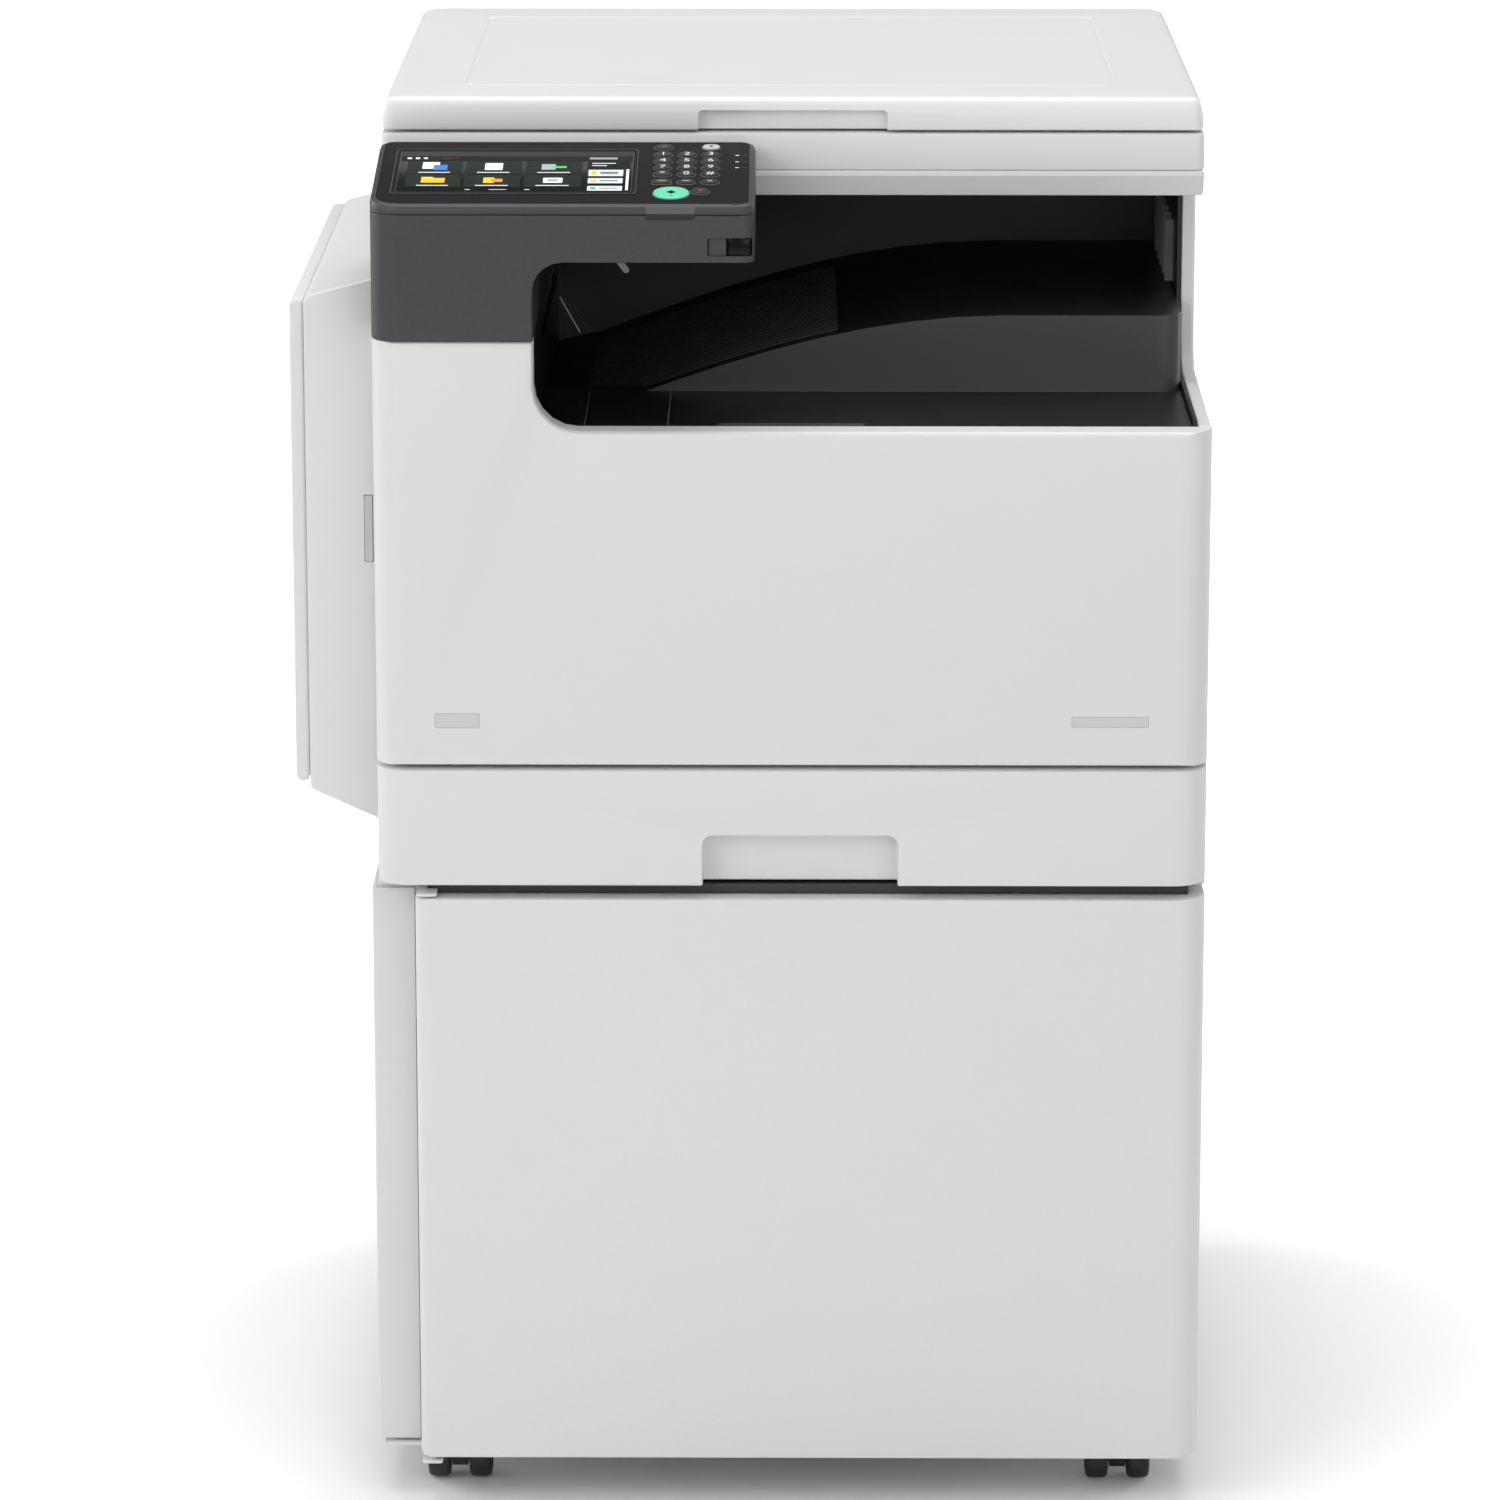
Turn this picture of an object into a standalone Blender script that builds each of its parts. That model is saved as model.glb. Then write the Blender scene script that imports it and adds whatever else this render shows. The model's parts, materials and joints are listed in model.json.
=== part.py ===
"""Office photocopier on a pedestal cabinet, modelled as separate closed solids.

X runs to the right, Y from the front face to the rear and Z up from the floor, in metres.
Shapes are drawn from the body's centre line and its front face. SHIFT then moves them, so that
the model's origin lies on the floor under the middle of the whole machine.
"""

import math

import bmesh
import bpy
from mathutils import Vector

# Overall sizes
BODY_WIDTH = 0.566
BODY_DEPTH = 0.635
SCANNER_REAR_INSET = 0.004
LEFT_BULGE = 0.059

# Clearances and walls
GAP = 0.0003
RUNNING_GAP = 0.0012
SKIN = 0.003
SIDE_SKIN = 0.0095
CORNER_RADIUS = 0.022

# Heights, from the floor up
PEDESTAL_BOTTOM = 0.0386
PEDESTAL_HEIGHT = 0.4034
CASSETTE_FOOT = 0.0096
CASSETTE_HEIGHT = 0.0811
COVER_SEAM = 0.0032
FRONT_COVER_HEIGHT = 0.2308
CAVITY_HEIGHT = 0.137
SCANNER_BASE_HEIGHT = 0.0186
SCANNER_HEIGHT = 0.0254
PLATEN_GAP = 0.0021
PLATEN_COVER_HEIGHT = 0.0224

# Pedestal and its door
DOOR_THICKNESS = 0.040
DOOR_MARGIN = 0.0256
DOOR_LEFT_RADIUS = 0.010
DOOR_RIGHT_RADIUS = 0.020
DOOR_PIN_INSET = 0.008
DOOR_PIN_RADIUS = 0.003
DOOR_PIN_REACH = 0.010
HINGE_TAB_MARGIN = 0.004
HINGE_TAB_GAP = 0.0016
HINGE_TAB_THICKNESS = 0.002
CABINET_FRONT = 0.044
CABINET_WALL = 0.012
CABINET_REAR_MARGIN = 0.013
CABINET_OVERHANG = 0.003
PLINTH_HEIGHT = 0.023
SIDE_STRIP_WIDTH = 0.0295
SIDE_STRIP_THICKNESS = 0.002

# Casters
WHEEL_DIAMETER = 0.042
WHEEL_WIDTH = 0.0158
WHEEL_SPACING = 0.0133
AXLE_RADIUS = 0.003
CASTER_TRAIL = 0.010
CASTER_SIDE_INSET = 0.0525
CASTER_END_INSET = 0.0845
CASTER_WEB = 0.011
CASTER_WEB_FOOT = 0.009
CASTER_WEB_SHOULDER = 0.0035
CASTER_STEM_RADIUS = 0.009
HOOD_THICKNESS = 0.0023
HOOD_FOOT = 0.0094

# Chassis bays
CHASSIS_FRONT = 0.026
CHASSIS_REAR_MARGIN = 0.037
PLATE = 0.008
BAY_FLOOR = 0.005
ENGINE_BAY_WALL = 0.028
TONER_SIDE = 0.084
REAR_BAY_DEPTH = 0.032
REAR_BAY_WALL = 0.022
VENT_COUNT = 8
VENT_PITCH = 0.010
VENT_HEIGHT = 0.0045
VENT_LEFT = -0.180
VENT_RIGHT = -0.060
VENT_RISE = 0.020
TOWER_WIDTH = 0.109

# Cavity for the printed sheets
LINER_WALL = 0.003
LINER_DROP = 0.0242
CAVITY_DEPTH = 0.470
LEDGE_DEPTH = 0.152
TRAY_RISE = 0.0755
TRAY_START = 0.0137
TRAY_RUN = 0.310
FINGER_SLOT_WIDTH = 0.101
FINGER_SLOT_DEPTH = 0.0105
EXIT_SLOT_HEIGHT = 0.020
COLUMN_FRONT = 0.232
COLUMN_RADIUS = 0.025
TRAY_CORNER = 0.017
TRAY_FOOT = 0.0018
TRAY_STEPS = 14
TRAY_STEEP_WALL = 0.045
LEDGE_SUNK = 0.0007
EXIT_SLOT_RISE = 0.028
SHOULDER_RISE = 0.004

# Front cover
COVER_THICKNESS = 0.025
COVER_EDGE = 0.004
COVER_REAR_EDGE = 0.002
STEP_SHARE = 0.65
OPENING_RADIUS = 0.030

# Left cover, its latch and the bypass tray
LEFT_COVER_FRONT = 0.060
LEFT_COVER_REAR = 0.486
LEFT_COVER_LOW = 0.482
LEFT_COVER_HIGH = 0.861
LEFT_COVER_HINGE_RADIUS = 0.012
BYPASS_THICKNESS = 0.0097
BYPASS_LOW = 0.508
BYPASS_HIGH = 0.8455
LATCH_HEIGHT = 0.046
LATCH_WIDTH = 0.0055
LATCH_LOW = 0.665
LATCH_INSET = 0.0035
LATCH_DEPTH = 0.010
LATCH_PROUD = 0.0008
MOUTH_RIM = 0.015

# Paper cassette
CASSETTE_WALL = 0.0025
CASSETTE_SIDE_CLEARANCE = 0.005
CASSETTE_LENGTH = 0.534
HANDLE_WIDTH = 0.1327
HANDLE_HEIGHT = 0.0354
HANDLE_CENTRE = 0.00575
HANDLE_DEPTH = 0.017
LIFT_PLATE_WIDTH = 0.375
LIFT_PLATE_DEPTH = 0.360
LIFT_PLATE_THICKNESS = 0.0015

# Scanner, glass and platen cover
SCANNER_FRONT = 0.143
SCANNER_SLOPE = 0.009
SCANNER_LIP = 0.0036
GLASS_WIDTH = 0.437
GLASS_DEPTH = 0.317
GLASS_THICKNESS = 0.0034
GLASS_SET_BACK = 0.043
CARRIAGE_WIDTH = 0.040
CARRIAGE_SLIT = 0.008
CARRIAGE_SLIT_MARGIN = 0.012
CARRIAGE_SLIT_DEPTH = 0.006
PLATEN_REAR_RADIUS = 0.020
PLATEN_HINGE_INSET = 0.009
PAD_MARGIN = 0.006
PAD_THICKNESS = 0.0044
LIFT_RECESS_WIDTH = 0.130
LIFT_RECESS_HEIGHT = 0.0136
LIFT_RECESS_DEPTH = 0.008

# Operation panel
PANEL_WIDTH = 0.2576
PANEL_DEPTH = 0.140
PANEL_SEAM_RISE = 0.0109
PANEL_FRONT_HEIGHT = 0.0059
PANEL_TILT = math.radians(9.33)
PANEL_ARM_HEIGHT = 0.0328
PANEL_LEG_DROP = 0.0752
PANEL_LEFT_RADIUS = 0.020
PANEL_RIGHT_RADIUS = 0.010
PANEL_EDGE = 0.004
PANEL_FILLET = 0.020
PANEL_SKIN = 0.0025
SCREEN_WIDTH = 0.165
SCREEN_HEIGHT = 0.0963
SCREEN_LEFT = 0.013
SCREEN_UP = 0.0243
KEY_TRAVEL = 0.001
KEY_PROUD = 0.0012
KEY_DEPTH = 0.0055
KEY_CLEARANCE = 0.00035
KEY_COLUMN_PITCH = 0.0162
KEY_ROW_PITCH = 0.0142
KEY_FIRST_COLUMN = 0.0627
KEY_FIRST_ROW = 0.0665
KEY_WIDTH = 0.0118
KEY_LENGTH = 0.0094
SWITCH_RECESS_WIDTH = 0.0292
SWITCH_RECESS_HEIGHT = 0.012
SWITCH_RECESS_DEPTH = 0.0075
SWITCH_WIDTH = 0.0152
SWITCH_RISE = 0.0047
SWITCH_MARGIN = 0.002
SWITCH_LIFT = 0.0046
START_SIZE = 0.0240
START_RADIUS = 0.0119
START_UP = 0.0258
START_SIDE = 0.0067
STOP_UP = 0.0300
STOP_SIDE = 0.0261
SQUARE_KEY_RADIUS = 0.001
OVAL_SHARE = 2.1
TOP_ROW_SHARE = 4.15
LOW_ROW_SHARE = 1.15
HOUSING_WALL = 0.0035
SCREEN_PROUD = 0.0006
SCREEN_RADIUS = 0.003

# Rollers, toner and motor
DRUM_RADIUS = 0.030
TONER_RADIUS = 0.038
FUSER_RADIUS = 0.014
EXIT_RADIUS = 0.007
SHAFT_RADIUS = 0.005
PAPER_PATH = 0.077
NIP_GAP = 0.0005
MOTOR_RADIUS = 0.035
MOTOR_DEPTH = 0.028
MOTOR_SIDE = 0.020
MOTOR_EDGE = 0.004
ROLLER_EDGE = 0.001
ROLLER_END = 0.020
SHAFT_PROUD = 0.008
BOTTLE_PROUD = 0.004

# Power inlet
INLET_WIDTH = 0.048
INLET_HEIGHT = 0.028
INLET_RISE = 0.024
INLET_SIDE = 0.085
INLET_DEPTH = 0.012
INLET_RADIUS = 0.003
PIN_HALF_WIDTH = 0.001
PIN_HALF_HEIGHT = 0.002
PIN_PLACES = ((-0.007, -0.003), (0.007, -0.003), (0, 0.004))

# Drawing quality
LEAST_RADIUS = 0.0001
SMALL_RADIUS = 0.0055
SMALL_ARC_STEPS = 2
LARGE_ARC_STEPS = 5
EDGE_STEPS = 2
ROUND_STEPS = 20
SHARP_ANGLE = math.radians(35)

# Places that follow from the sizes above
HALF = BODY_WIDTH / 2
SCANNER_DEPTH = BODY_DEPTH - SCANNER_REAR_INSET
SHIFT = Vector((LEFT_BULGE / 2, -BODY_DEPTH / 2, 0))
PEDESTAL_TOP = PEDESTAL_BOTTOM + PEDESTAL_HEIGHT
CASSETTE_LOW = PEDESTAL_TOP + CASSETTE_FOOT
CASSETTE_HIGH = CASSETTE_LOW + CASSETTE_HEIGHT
COVER_LOW = CASSETTE_HIGH + COVER_SEAM
COVER_HIGH = COVER_LOW + FRONT_COVER_HEIGHT
SCANNER_LOW = COVER_HIGH + CAVITY_HEIGHT
SCANNER_SEAM = SCANNER_LOW + SCANNER_BASE_HEIGHT
SCANNER_HIGH = SCANNER_SEAM + GAP + SCANNER_HEIGHT
PLATEN_LOW = SCANNER_HIGH + PLATEN_GAP
PLATEN_HIGH = PLATEN_LOW + PLATEN_COVER_HEIGHT
CAVITY_LEFT = -HALF + TOWER_WIDTH
CAVITY_RIGHT = HALF - SIDE_SKIN - GAP - LINER_WALL
CABINET_LEFT = -HALF - CABINET_OVERHANG
CABINET_REAR = BODY_DEPTH - CABINET_REAR_MARGIN
BODY_LOW = PEDESTAL_TOP + GAP
SIDE_LOW = PEDESTAL_TOP + HINGE_TAB_GAP + HINGE_TAB_THICKNESS + 2 * GAP
FRAME_HALF = HALF - SIDE_SKIN - GAP
FRAME_REAR = BODY_DEPTH - CHASSIS_REAR_MARGIN
LINER_LOW = COVER_HIGH - LINER_DROP - LINER_WALL
FRAME_HIGH = LINER_LOW - GAP
FRAME_TOP = SCANNER_LOW - GAP
PANEL_SEAM = SCANNER_LOW + PANEL_SEAM_RISE
PANEL_ARM_LOW = PANEL_SEAM - PANEL_ARM_HEIGHT
PANEL_LEG_LOW = SCANNER_LOW - PANEL_LEG_DROP
PANEL_RIGHT = -HALF + PANEL_WIDTH
COVER_LEFT_HIGH = PANEL_LEG_LOW - 2 * GAP
BAY_LOW = BODY_LOW + BAY_FLOOR
BAY_HIGH = CASSETTE_HIGH + COVER_SEAM / 2
ENGINE_LOW = BAY_HIGH + PLATE
ENGINE_HIGH = FRAME_HIGH - PLATE
ENGINE_FRONT = CHASSIS_FRONT + PLATE
ENGINE_REAR = FRAME_REAR - REAR_BAY_DEPTH - PLATE
TOWER_BAY_FRONT = SCANNER_FRONT + GAP + PLATE
TOWER_BAY_RIGHT = CAVITY_LEFT - LINER_WALL - PLATE


def rounded(corners, inset=0.0):
    """Points of a counter-clockwise outline of (u, v, radius) corners, moved inwards by inset."""
    points = []
    for index, (u, v, radius) in enumerate(corners):
        here = Vector((u, v))
        before = Vector(corners[index - 1][:2])
        after = Vector(corners[(index + 1) % len(corners)][:2])
        into = (here - before).normalized()
        away = (after - here).normalized()
        normal = Vector((-into.y, into.x))
        next_normal = Vector((-away.y, away.x))
        middle = (normal + next_normal) / (1 + normal.dot(next_normal))
        corner = here + middle * inset
        if radius == 0:
            points.append(corner)
            continue
        turn = math.atan2(into.x * away.y - into.y * away.x, into.dot(away))
        side = math.copysign(1, turn)
        bend = max(radius - side * inset, LEAST_RADIUS)
        centre = corner + middle * bend * side
        spoke = -normal * bend * side
        steps = SMALL_ARC_STEPS if radius < SMALL_RADIUS else LARGE_ARC_STEPS
        for step in range(steps + 1):
            angle = turn * step / steps
            cosine = math.cos(angle)
            sine = math.sin(angle)
            swung = Vector((spoke.x * cosine - spoke.y * sine, spoke.x * sine + spoke.y * cosine))
            points.append(centre + swung)
    return points


def rectangle(u_low, u_high, v_low, v_high, radius=0.0):
    """Counter-clockwise corners of a rectangle."""
    return [
        (u_low, v_low, radius),
        (u_high, v_low, radius),
        (u_high, v_high, radius),
        (u_low, v_high, radius),
    ]


def in_space(u, v, height, axis):
    """The point at (u, v) on an outline drawn across the axis, at a height along it."""
    if axis == "X":
        return Vector((height, u, v))
    if axis == "Y":
        return Vector((u, height, v))
    return Vector((u, v, height))


def lofted(rings):
    """Closed shape through rings of equally many points, flat at both ends."""
    shape = bmesh.new()
    loops = [[shape.verts.new(point) for point in ring] for ring in rings]
    for lower, upper in zip(loops, loops[1:]):
        for index, vertex in enumerate(lower):
            after = (index + 1) % len(lower)
            shape.faces.new((vertex, lower[after], upper[after], upper[index]))
    shape.faces.new(reversed(loops[0]))
    shape.faces.new(loops[-1])
    bmesh.ops.recalc_face_normals(shape, faces=shape.faces)
    return shape


def edge_levels(start, end, at_start=0.0, at_end=0.0):
    """(height, inset) levels of a prism whose two end edges are rounded by these radii."""
    quarter = [math.pi / 2 * step / EDGE_STEPS for step in range(EDGE_STEPS + 1)]
    levels = [(start, 0.0)]
    if at_start:
        levels = [(start + at_start * (1 - math.cos(a)), at_start * (1 - math.sin(a))) for a in quarter]
    if at_end:
        turned = [(end - at_end * (1 - math.cos(a)), at_end * (1 - math.sin(a))) for a in quarter]
        return levels + turned[::-1]
    return levels + [(end, 0.0)]


def prism(corners, levels, axis="Z"):
    """Outline carried along an axis through (height, inset) levels."""
    rings = []
    for height, inset in levels:
        rings.append([in_space(p.x, p.y, height, axis) for p in rounded(corners, inset)])
    return lofted(rings)


def box(x_low, x_high, y_low, y_high, z_low, z_high, radius=0.0, axis="Z"):
    """Block whose edges along the axis are rounded by radius."""
    if axis == "X":
        return prism(rectangle(y_low, y_high, z_low, z_high, radius), [(x_low, 0), (x_high, 0)], "X")
    if axis == "Y":
        return prism(rectangle(x_low, x_high, z_low, z_high, radius), [(y_low, 0), (y_high, 0)], "Y")
    return prism(rectangle(x_low, x_high, y_low, y_high, radius), [(z_low, 0), (z_high, 0)], "Z")


def turned(profile, u, v, axis="Y", steps=ROUND_STEPS):
    """Round shape about the axis through (u, v), from (height, radius) pairs along it."""
    rings = []
    for height, radius in profile:
        angles = [2 * math.pi * step / steps for step in range(steps)]
        ring = [in_space(u + radius * math.cos(a), v + radius * math.sin(a), height, axis) for a in angles]
        rings.append(ring)
    return lofted(rings)


def principled(name, colour, roughness, metallic=0.0, alpha=1.0):
    """Material with one Principled shader, its colour given as linear red, green and blue."""
    material = bpy.data.materials.get(name)
    if material:
        return material
    material = bpy.data.materials.new(name)
    material.use_nodes = True
    shader = material.node_tree.nodes["Principled BSDF"]
    shader.inputs["Base Color"].default_value = (*colour, 1)
    shader.inputs["Roughness"].default_value = roughness
    shader.inputs["Metallic"].default_value = metallic
    shader.inputs["Alpha"].default_value = alpha
    material.diffuse_color = (*colour, 1)
    return material


def shell_plastic():
    return principled("Shell plastic", (0.70, 0.70, 0.70), 0.5)


def charcoal_plastic():
    return principled("Charcoal plastic", (0.055, 0.055, 0.06), 0.45)


def black_plastic():
    return principled("Black plastic", (0.012, 0.012, 0.013), 0.5)


def dark_key_plastic():
    return principled("Dark key plastic", (0.045, 0.045, 0.05), 0.45)


def pale_key_plastic():
    return principled("Pale key plastic", (0.55, 0.56, 0.55), 0.45)


def start_key_plastic():
    return principled("Start key plastic", (0.17, 0.81, 0.53), 0.4)


def sheet_steel():
    return principled("Zinc plated sheet steel", (0.55, 0.56, 0.57), 0.35, 1.0)


def wheel_rubber():
    return principled("Caster tyre", (0.02, 0.02, 0.02), 0.65)


def glass():
    return principled("Platen glass", (0.75, 0.80, 0.80), 0.03, 0.0, 0.35)


def foam():
    return principled("White backing foam", (0.85, 0.85, 0.84), 0.8)


def photoconductor():
    return principled("Photoconductor coating", (0.03, 0.12, 0.10), 0.15, 0.3)


def roller_rubber():
    return principled("Roller rubber", (0.20, 0.06, 0.04), 0.6)


def piece(name, shape, material, origin=(0, 0, 0)):
    """Object with this name, whose own origin is the given point of the body's frame."""
    origin = Vector(origin)
    bmesh.ops.translate(shape, verts=shape.verts, vec=-origin)
    mesh = bpy.data.meshes.new(name)
    shape.to_mesh(mesh)
    shape.free()
    mesh.materials.append(material)
    mesh.shade_smooth()
    mesh.set_sharp_from_angle(angle=SHARP_ANGLE)
    made = bpy.data.objects.new(name, mesh)
    made.location = origin + SHIFT
    bpy.context.collection.objects.link(made)
    return made


def combine(target, shape, operation="DIFFERENCE"):
    """Boolean of the target with a hidden helper shape."""
    number = len(target.modifiers) + 1
    helper = piece(f"{target.name}.{operation.lower()}.{number}", shape, target.data.materials[0])
    helper.hide_render = True
    helper.display_type = "WIRE"
    modifier = target.modifiers.new(f"{operation.title()} {number}", "BOOLEAN")
    modifier.operation = operation
    modifier.solver = "EXACT"
    modifier.object = helper
    return target


def cut(target, *shapes):
    """Target with these shapes taken away."""
    for shape in shapes:
        combine(target, shape)
    return target


def join(target, *shapes):
    """Target with these shapes added to the same body."""
    for shape in shapes:
        combine(target, shape, "UNION")
    return target


def plan(front_left, front_right, left=-HALF, right=HALF, front=0.0, rear=BODY_DEPTH):
    """Plan outline of the body with its two front corners rounded."""
    return [(left, front, front_left), (right, front, front_right), (right, rear, 0), (left, rear, 0)]


def clear_scene():
    for old in list(bpy.data.objects):
        bpy.data.objects.remove(old, do_unlink=True)


# Pedestal


def pedestal_cabinet():
    """Open-fronted cabinet with a raised floor, and the two pins that the door turns on."""
    floor = PEDESTAL_BOTTOM + PLINTH_HEIGHT
    outer = rectangle(CABINET_LEFT, HALF, PEDESTAL_BOTTOM, PEDESTAL_TOP, 0.002)
    shape = prism(outer, edge_levels(CABINET_FRONT, CABINET_REAR), "Y")
    cabinet = piece("pedestal_cabinet", shape, shell_plastic())
    inner_left = CABINET_LEFT + CABINET_WALL
    inner_right = HALF - CABINET_WALL
    inner_rear = CABINET_REAR - CABINET_WALL
    store = box(inner_left, inner_right, 0, inner_rear, floor + SKIN * 2, PEDESTAL_TOP - CABINET_WALL)
    well = box(inner_left, inner_right, CABINET_FRONT - GAP, inner_rear, 0, floor)
    cut(cabinet, store, well)
    for height, toward in ((PEDESTAL_TOP, -1), (PEDESTAL_BOTTOM, 1)):
        join(cabinet, *door_hinge(height, toward))
    return cabinet


def hinge_tab_edges(clearance=0.0):
    """Left, right, front and rear of the tabs that carry the door's pins."""
    pin_x, pin_y = door_axis()
    reach = DOOR_PIN_RADIUS + HINGE_TAB_MARGIN
    left = CABINET_LEFT + RUNNING_GAP
    return left - clearance, pin_x + reach + clearance, pin_y - reach, CABINET_FRONT + SKIN + clearance


def door_hinge(height, toward):
    """Steel tab just above or below the door, and its pin, which points toward the door."""
    left, right, front, rear = hinge_tab_edges()
    pin_x, pin_y = door_axis()
    near = height - toward * HINGE_TAB_GAP
    far = near - toward * HINGE_TAB_THICKNESS
    arm_left = pin_x - DOOR_PIN_RADIUS - HINGE_TAB_MARGIN
    strip_front = rear - 3 * SKIN
    outline = [
        (arm_left, front, 0.002),
        (right, front, 0.002),
        (right, rear, 0),
        (left, rear, 0),
        (left, strip_front, 0),
        (arm_left, strip_front, 0),
    ]
    tab = prism(outline, [(min(near, far), 0), (max(near, far), 0)])
    inside = height + toward * SKIN
    foot = box(left, left + CABINET_WALL / 2, CABINET_FRONT, rear, min(far, inside), max(far, inside))
    tip = height + toward * DOOR_PIN_REACH
    pin = turned([(min(far, tip), DOOR_PIN_RADIUS), (max(far, tip), DOOR_PIN_RADIUS)], pin_x, pin_y, "Z", 16)
    return tab, foot, pin


def door_axis():
    return -HALF + DOOR_MARGIN + DOOR_PIN_INSET, DOOR_PIN_INSET


def pedestal_side_cover():
    """Skin on the cabinet's left side, turned round its front corner."""
    left = CABINET_LEFT - SKIN
    front = CABINET_FRONT - SIDE_STRIP_THICKNESS - GAP
    corners = [
        (left, front, 0.0015),
        (left + SIDE_STRIP_WIDTH, front, 0),
        (left + SIDE_STRIP_WIDTH, front + SIDE_STRIP_THICKNESS, 0),
        (CABINET_LEFT - GAP, front + SIDE_STRIP_THICKNESS, 0),
        (CABINET_LEFT - GAP, CABINET_REAR, 0),
        (left, CABINET_REAR, 0.0015),
    ]
    shape = prism(corners, edge_levels(PEDESTAL_BOTTOM, PEDESTAL_TOP - SKIN))
    return piece("pedestal_side_cover", shape, shell_plastic())


def pedestal_door():
    """Moulded door, hollow at its back, hung at its left front edge."""
    left = -HALF + DOOR_MARGIN
    pin_x, pin_y = door_axis()
    corners = [
        (left, 0, DOOR_LEFT_RADIUS),
        (HALF, 0, DOOR_RIGHT_RADIUS),
        (HALF, DOOR_THICKNESS, 0.002),
        (left, DOOR_THICKNESS, 0.002),
    ]
    shape = prism(corners, edge_levels(PEDESTAL_BOTTOM, PEDESTAL_TOP, 0.004, 0.0015))
    door = piece("pedestal_door", shape, shell_plastic(), (pin_x, pin_y, PEDESTAL_BOTTOM))
    hollow = [
        (left + SKIN + 2 * DOOR_PIN_INSET, SKIN, SKIN),
        (HALF - SKIN, SKIN, DOOR_RIGHT_RADIUS - SKIN),
        (HALF - SKIN, DOOR_THICKNESS + SKIN, 0),
        (left + SKIN + 2 * DOOR_PIN_INSET, DOOR_THICKNESS + SKIN, 0),
    ]
    cut(door, prism(hollow, [(PEDESTAL_BOTTOM + SKIN, 0), (PEDESTAL_TOP - SKIN, 0)]))
    for height, toward in ((PEDESTAL_TOP, -1), (PEDESTAL_BOTTOM, 1)):
        ends = sorted((height - toward * SKIN, height + toward * (DOOR_PIN_REACH + RUNNING_GAP)))
        bore = DOOR_PIN_RADIUS + GAP
        cut(door, turned([(ends[0], bore), (ends[1], bore)], pin_x, pin_y, "Z", 16))
    return door


def caster_places():
    """(name, x, y, trail) of each swivel stem; every wheel rests in front of its stem."""
    left = CABINET_LEFT + CASTER_SIDE_INSET
    right = HALF - CASTER_SIDE_INSET
    rear = CABINET_REAR - CASTER_END_INSET
    return [
        ("front_left", left, CASTER_END_INSET, -CASTER_TRAIL),
        ("front_right", right, CASTER_END_INSET, -CASTER_TRAIL),
        ("rear_left", left, rear, -CASTER_TRAIL),
        ("rear_right", right, rear, -CASTER_TRAIL),
    ]


def caster_housing(name, x, y, trail):
    """Swivelling hood over the twin wheels, with the web between them and its stem."""
    axle_y = y + trail
    axle_z = WHEEL_DIAMETER / 2
    top = PEDESTAL_BOTTOM + PLINTH_HEIGHT - GAP
    inner = axle_z + RUNNING_GAP
    outer = inner + HOOD_THICKNESS
    half_width = WHEEL_SPACING / 2 + WHEEL_WIDTH
    angles = [math.radians(20 + 14 * step) for step in range(11)]
    arc = [(axle_y + outer * math.cos(a), axle_z + outer * math.sin(a), 0) for a in angles]
    arc += [(axle_y + inner * math.cos(a), axle_z + inner * math.sin(a), 0) for a in reversed(angles)]
    hood = prism(arc, [(x - half_width, 0), (x + half_width, 0)], "X")
    housing = piece(f"caster_housing_{name}", hood, black_plastic(), (x, y, top))
    web = [
        (axle_y - CASTER_WEB_FOOT, HOOD_FOOT, 0.004),
        (axle_y + CASTER_WEB_FOOT, HOOD_FOOT, 0.004),
        (axle_y + inner * 0.9, axle_z + inner * 0.5, 0),
        (axle_y + inner * 0.55, outer + axle_z - CASTER_WEB_SHOULDER, 0),
        (axle_y - inner * 0.55, outer + axle_z - CASTER_WEB_SHOULDER, 0),
        (axle_y - inner * 0.9, axle_z + inner * 0.5, 0),
    ]
    join(housing, prism(web, [(x - CASTER_WEB / 2, 0), (x + CASTER_WEB / 2, 0)], "X"))
    stem_foot = axle_z + inner
    join(housing, turned([(stem_foot, CASTER_STEM_RADIUS), (top, CASTER_STEM_RADIUS)], x, y, "Z", 20))
    hole = AXLE_RADIUS + GAP
    cut(housing, turned([(x - CASTER_WEB, hole), (x + CASTER_WEB, hole)], axle_y, axle_z, "X", 16))
    return housing


def caster_wheels(name, x, y, trail):
    """Two tyres on one axle, free to roll in the housing."""
    radius = WHEEL_DIAMETER / 2
    inside = WHEEL_SPACING / 2
    outside = inside + WHEEL_WIDTH
    edge = 0.002
    half = [(inside, AXLE_RADIUS), (inside, radius - edge), (inside + edge, radius), (outside - edge, radius)]
    half += [(outside, radius - edge), (outside, radius * 0.3)]
    profile = [(x - h, r) for h, r in reversed(half)] + [(x + h, r) for h, r in half]
    centre = (x, y + trail, radius)
    shape = turned(profile, y + trail, radius, "X", ROUND_STEPS)
    return piece(f"caster_wheels_{name}", shape, wheel_rubber(), centre)


# Frame and fixed covers


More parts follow.
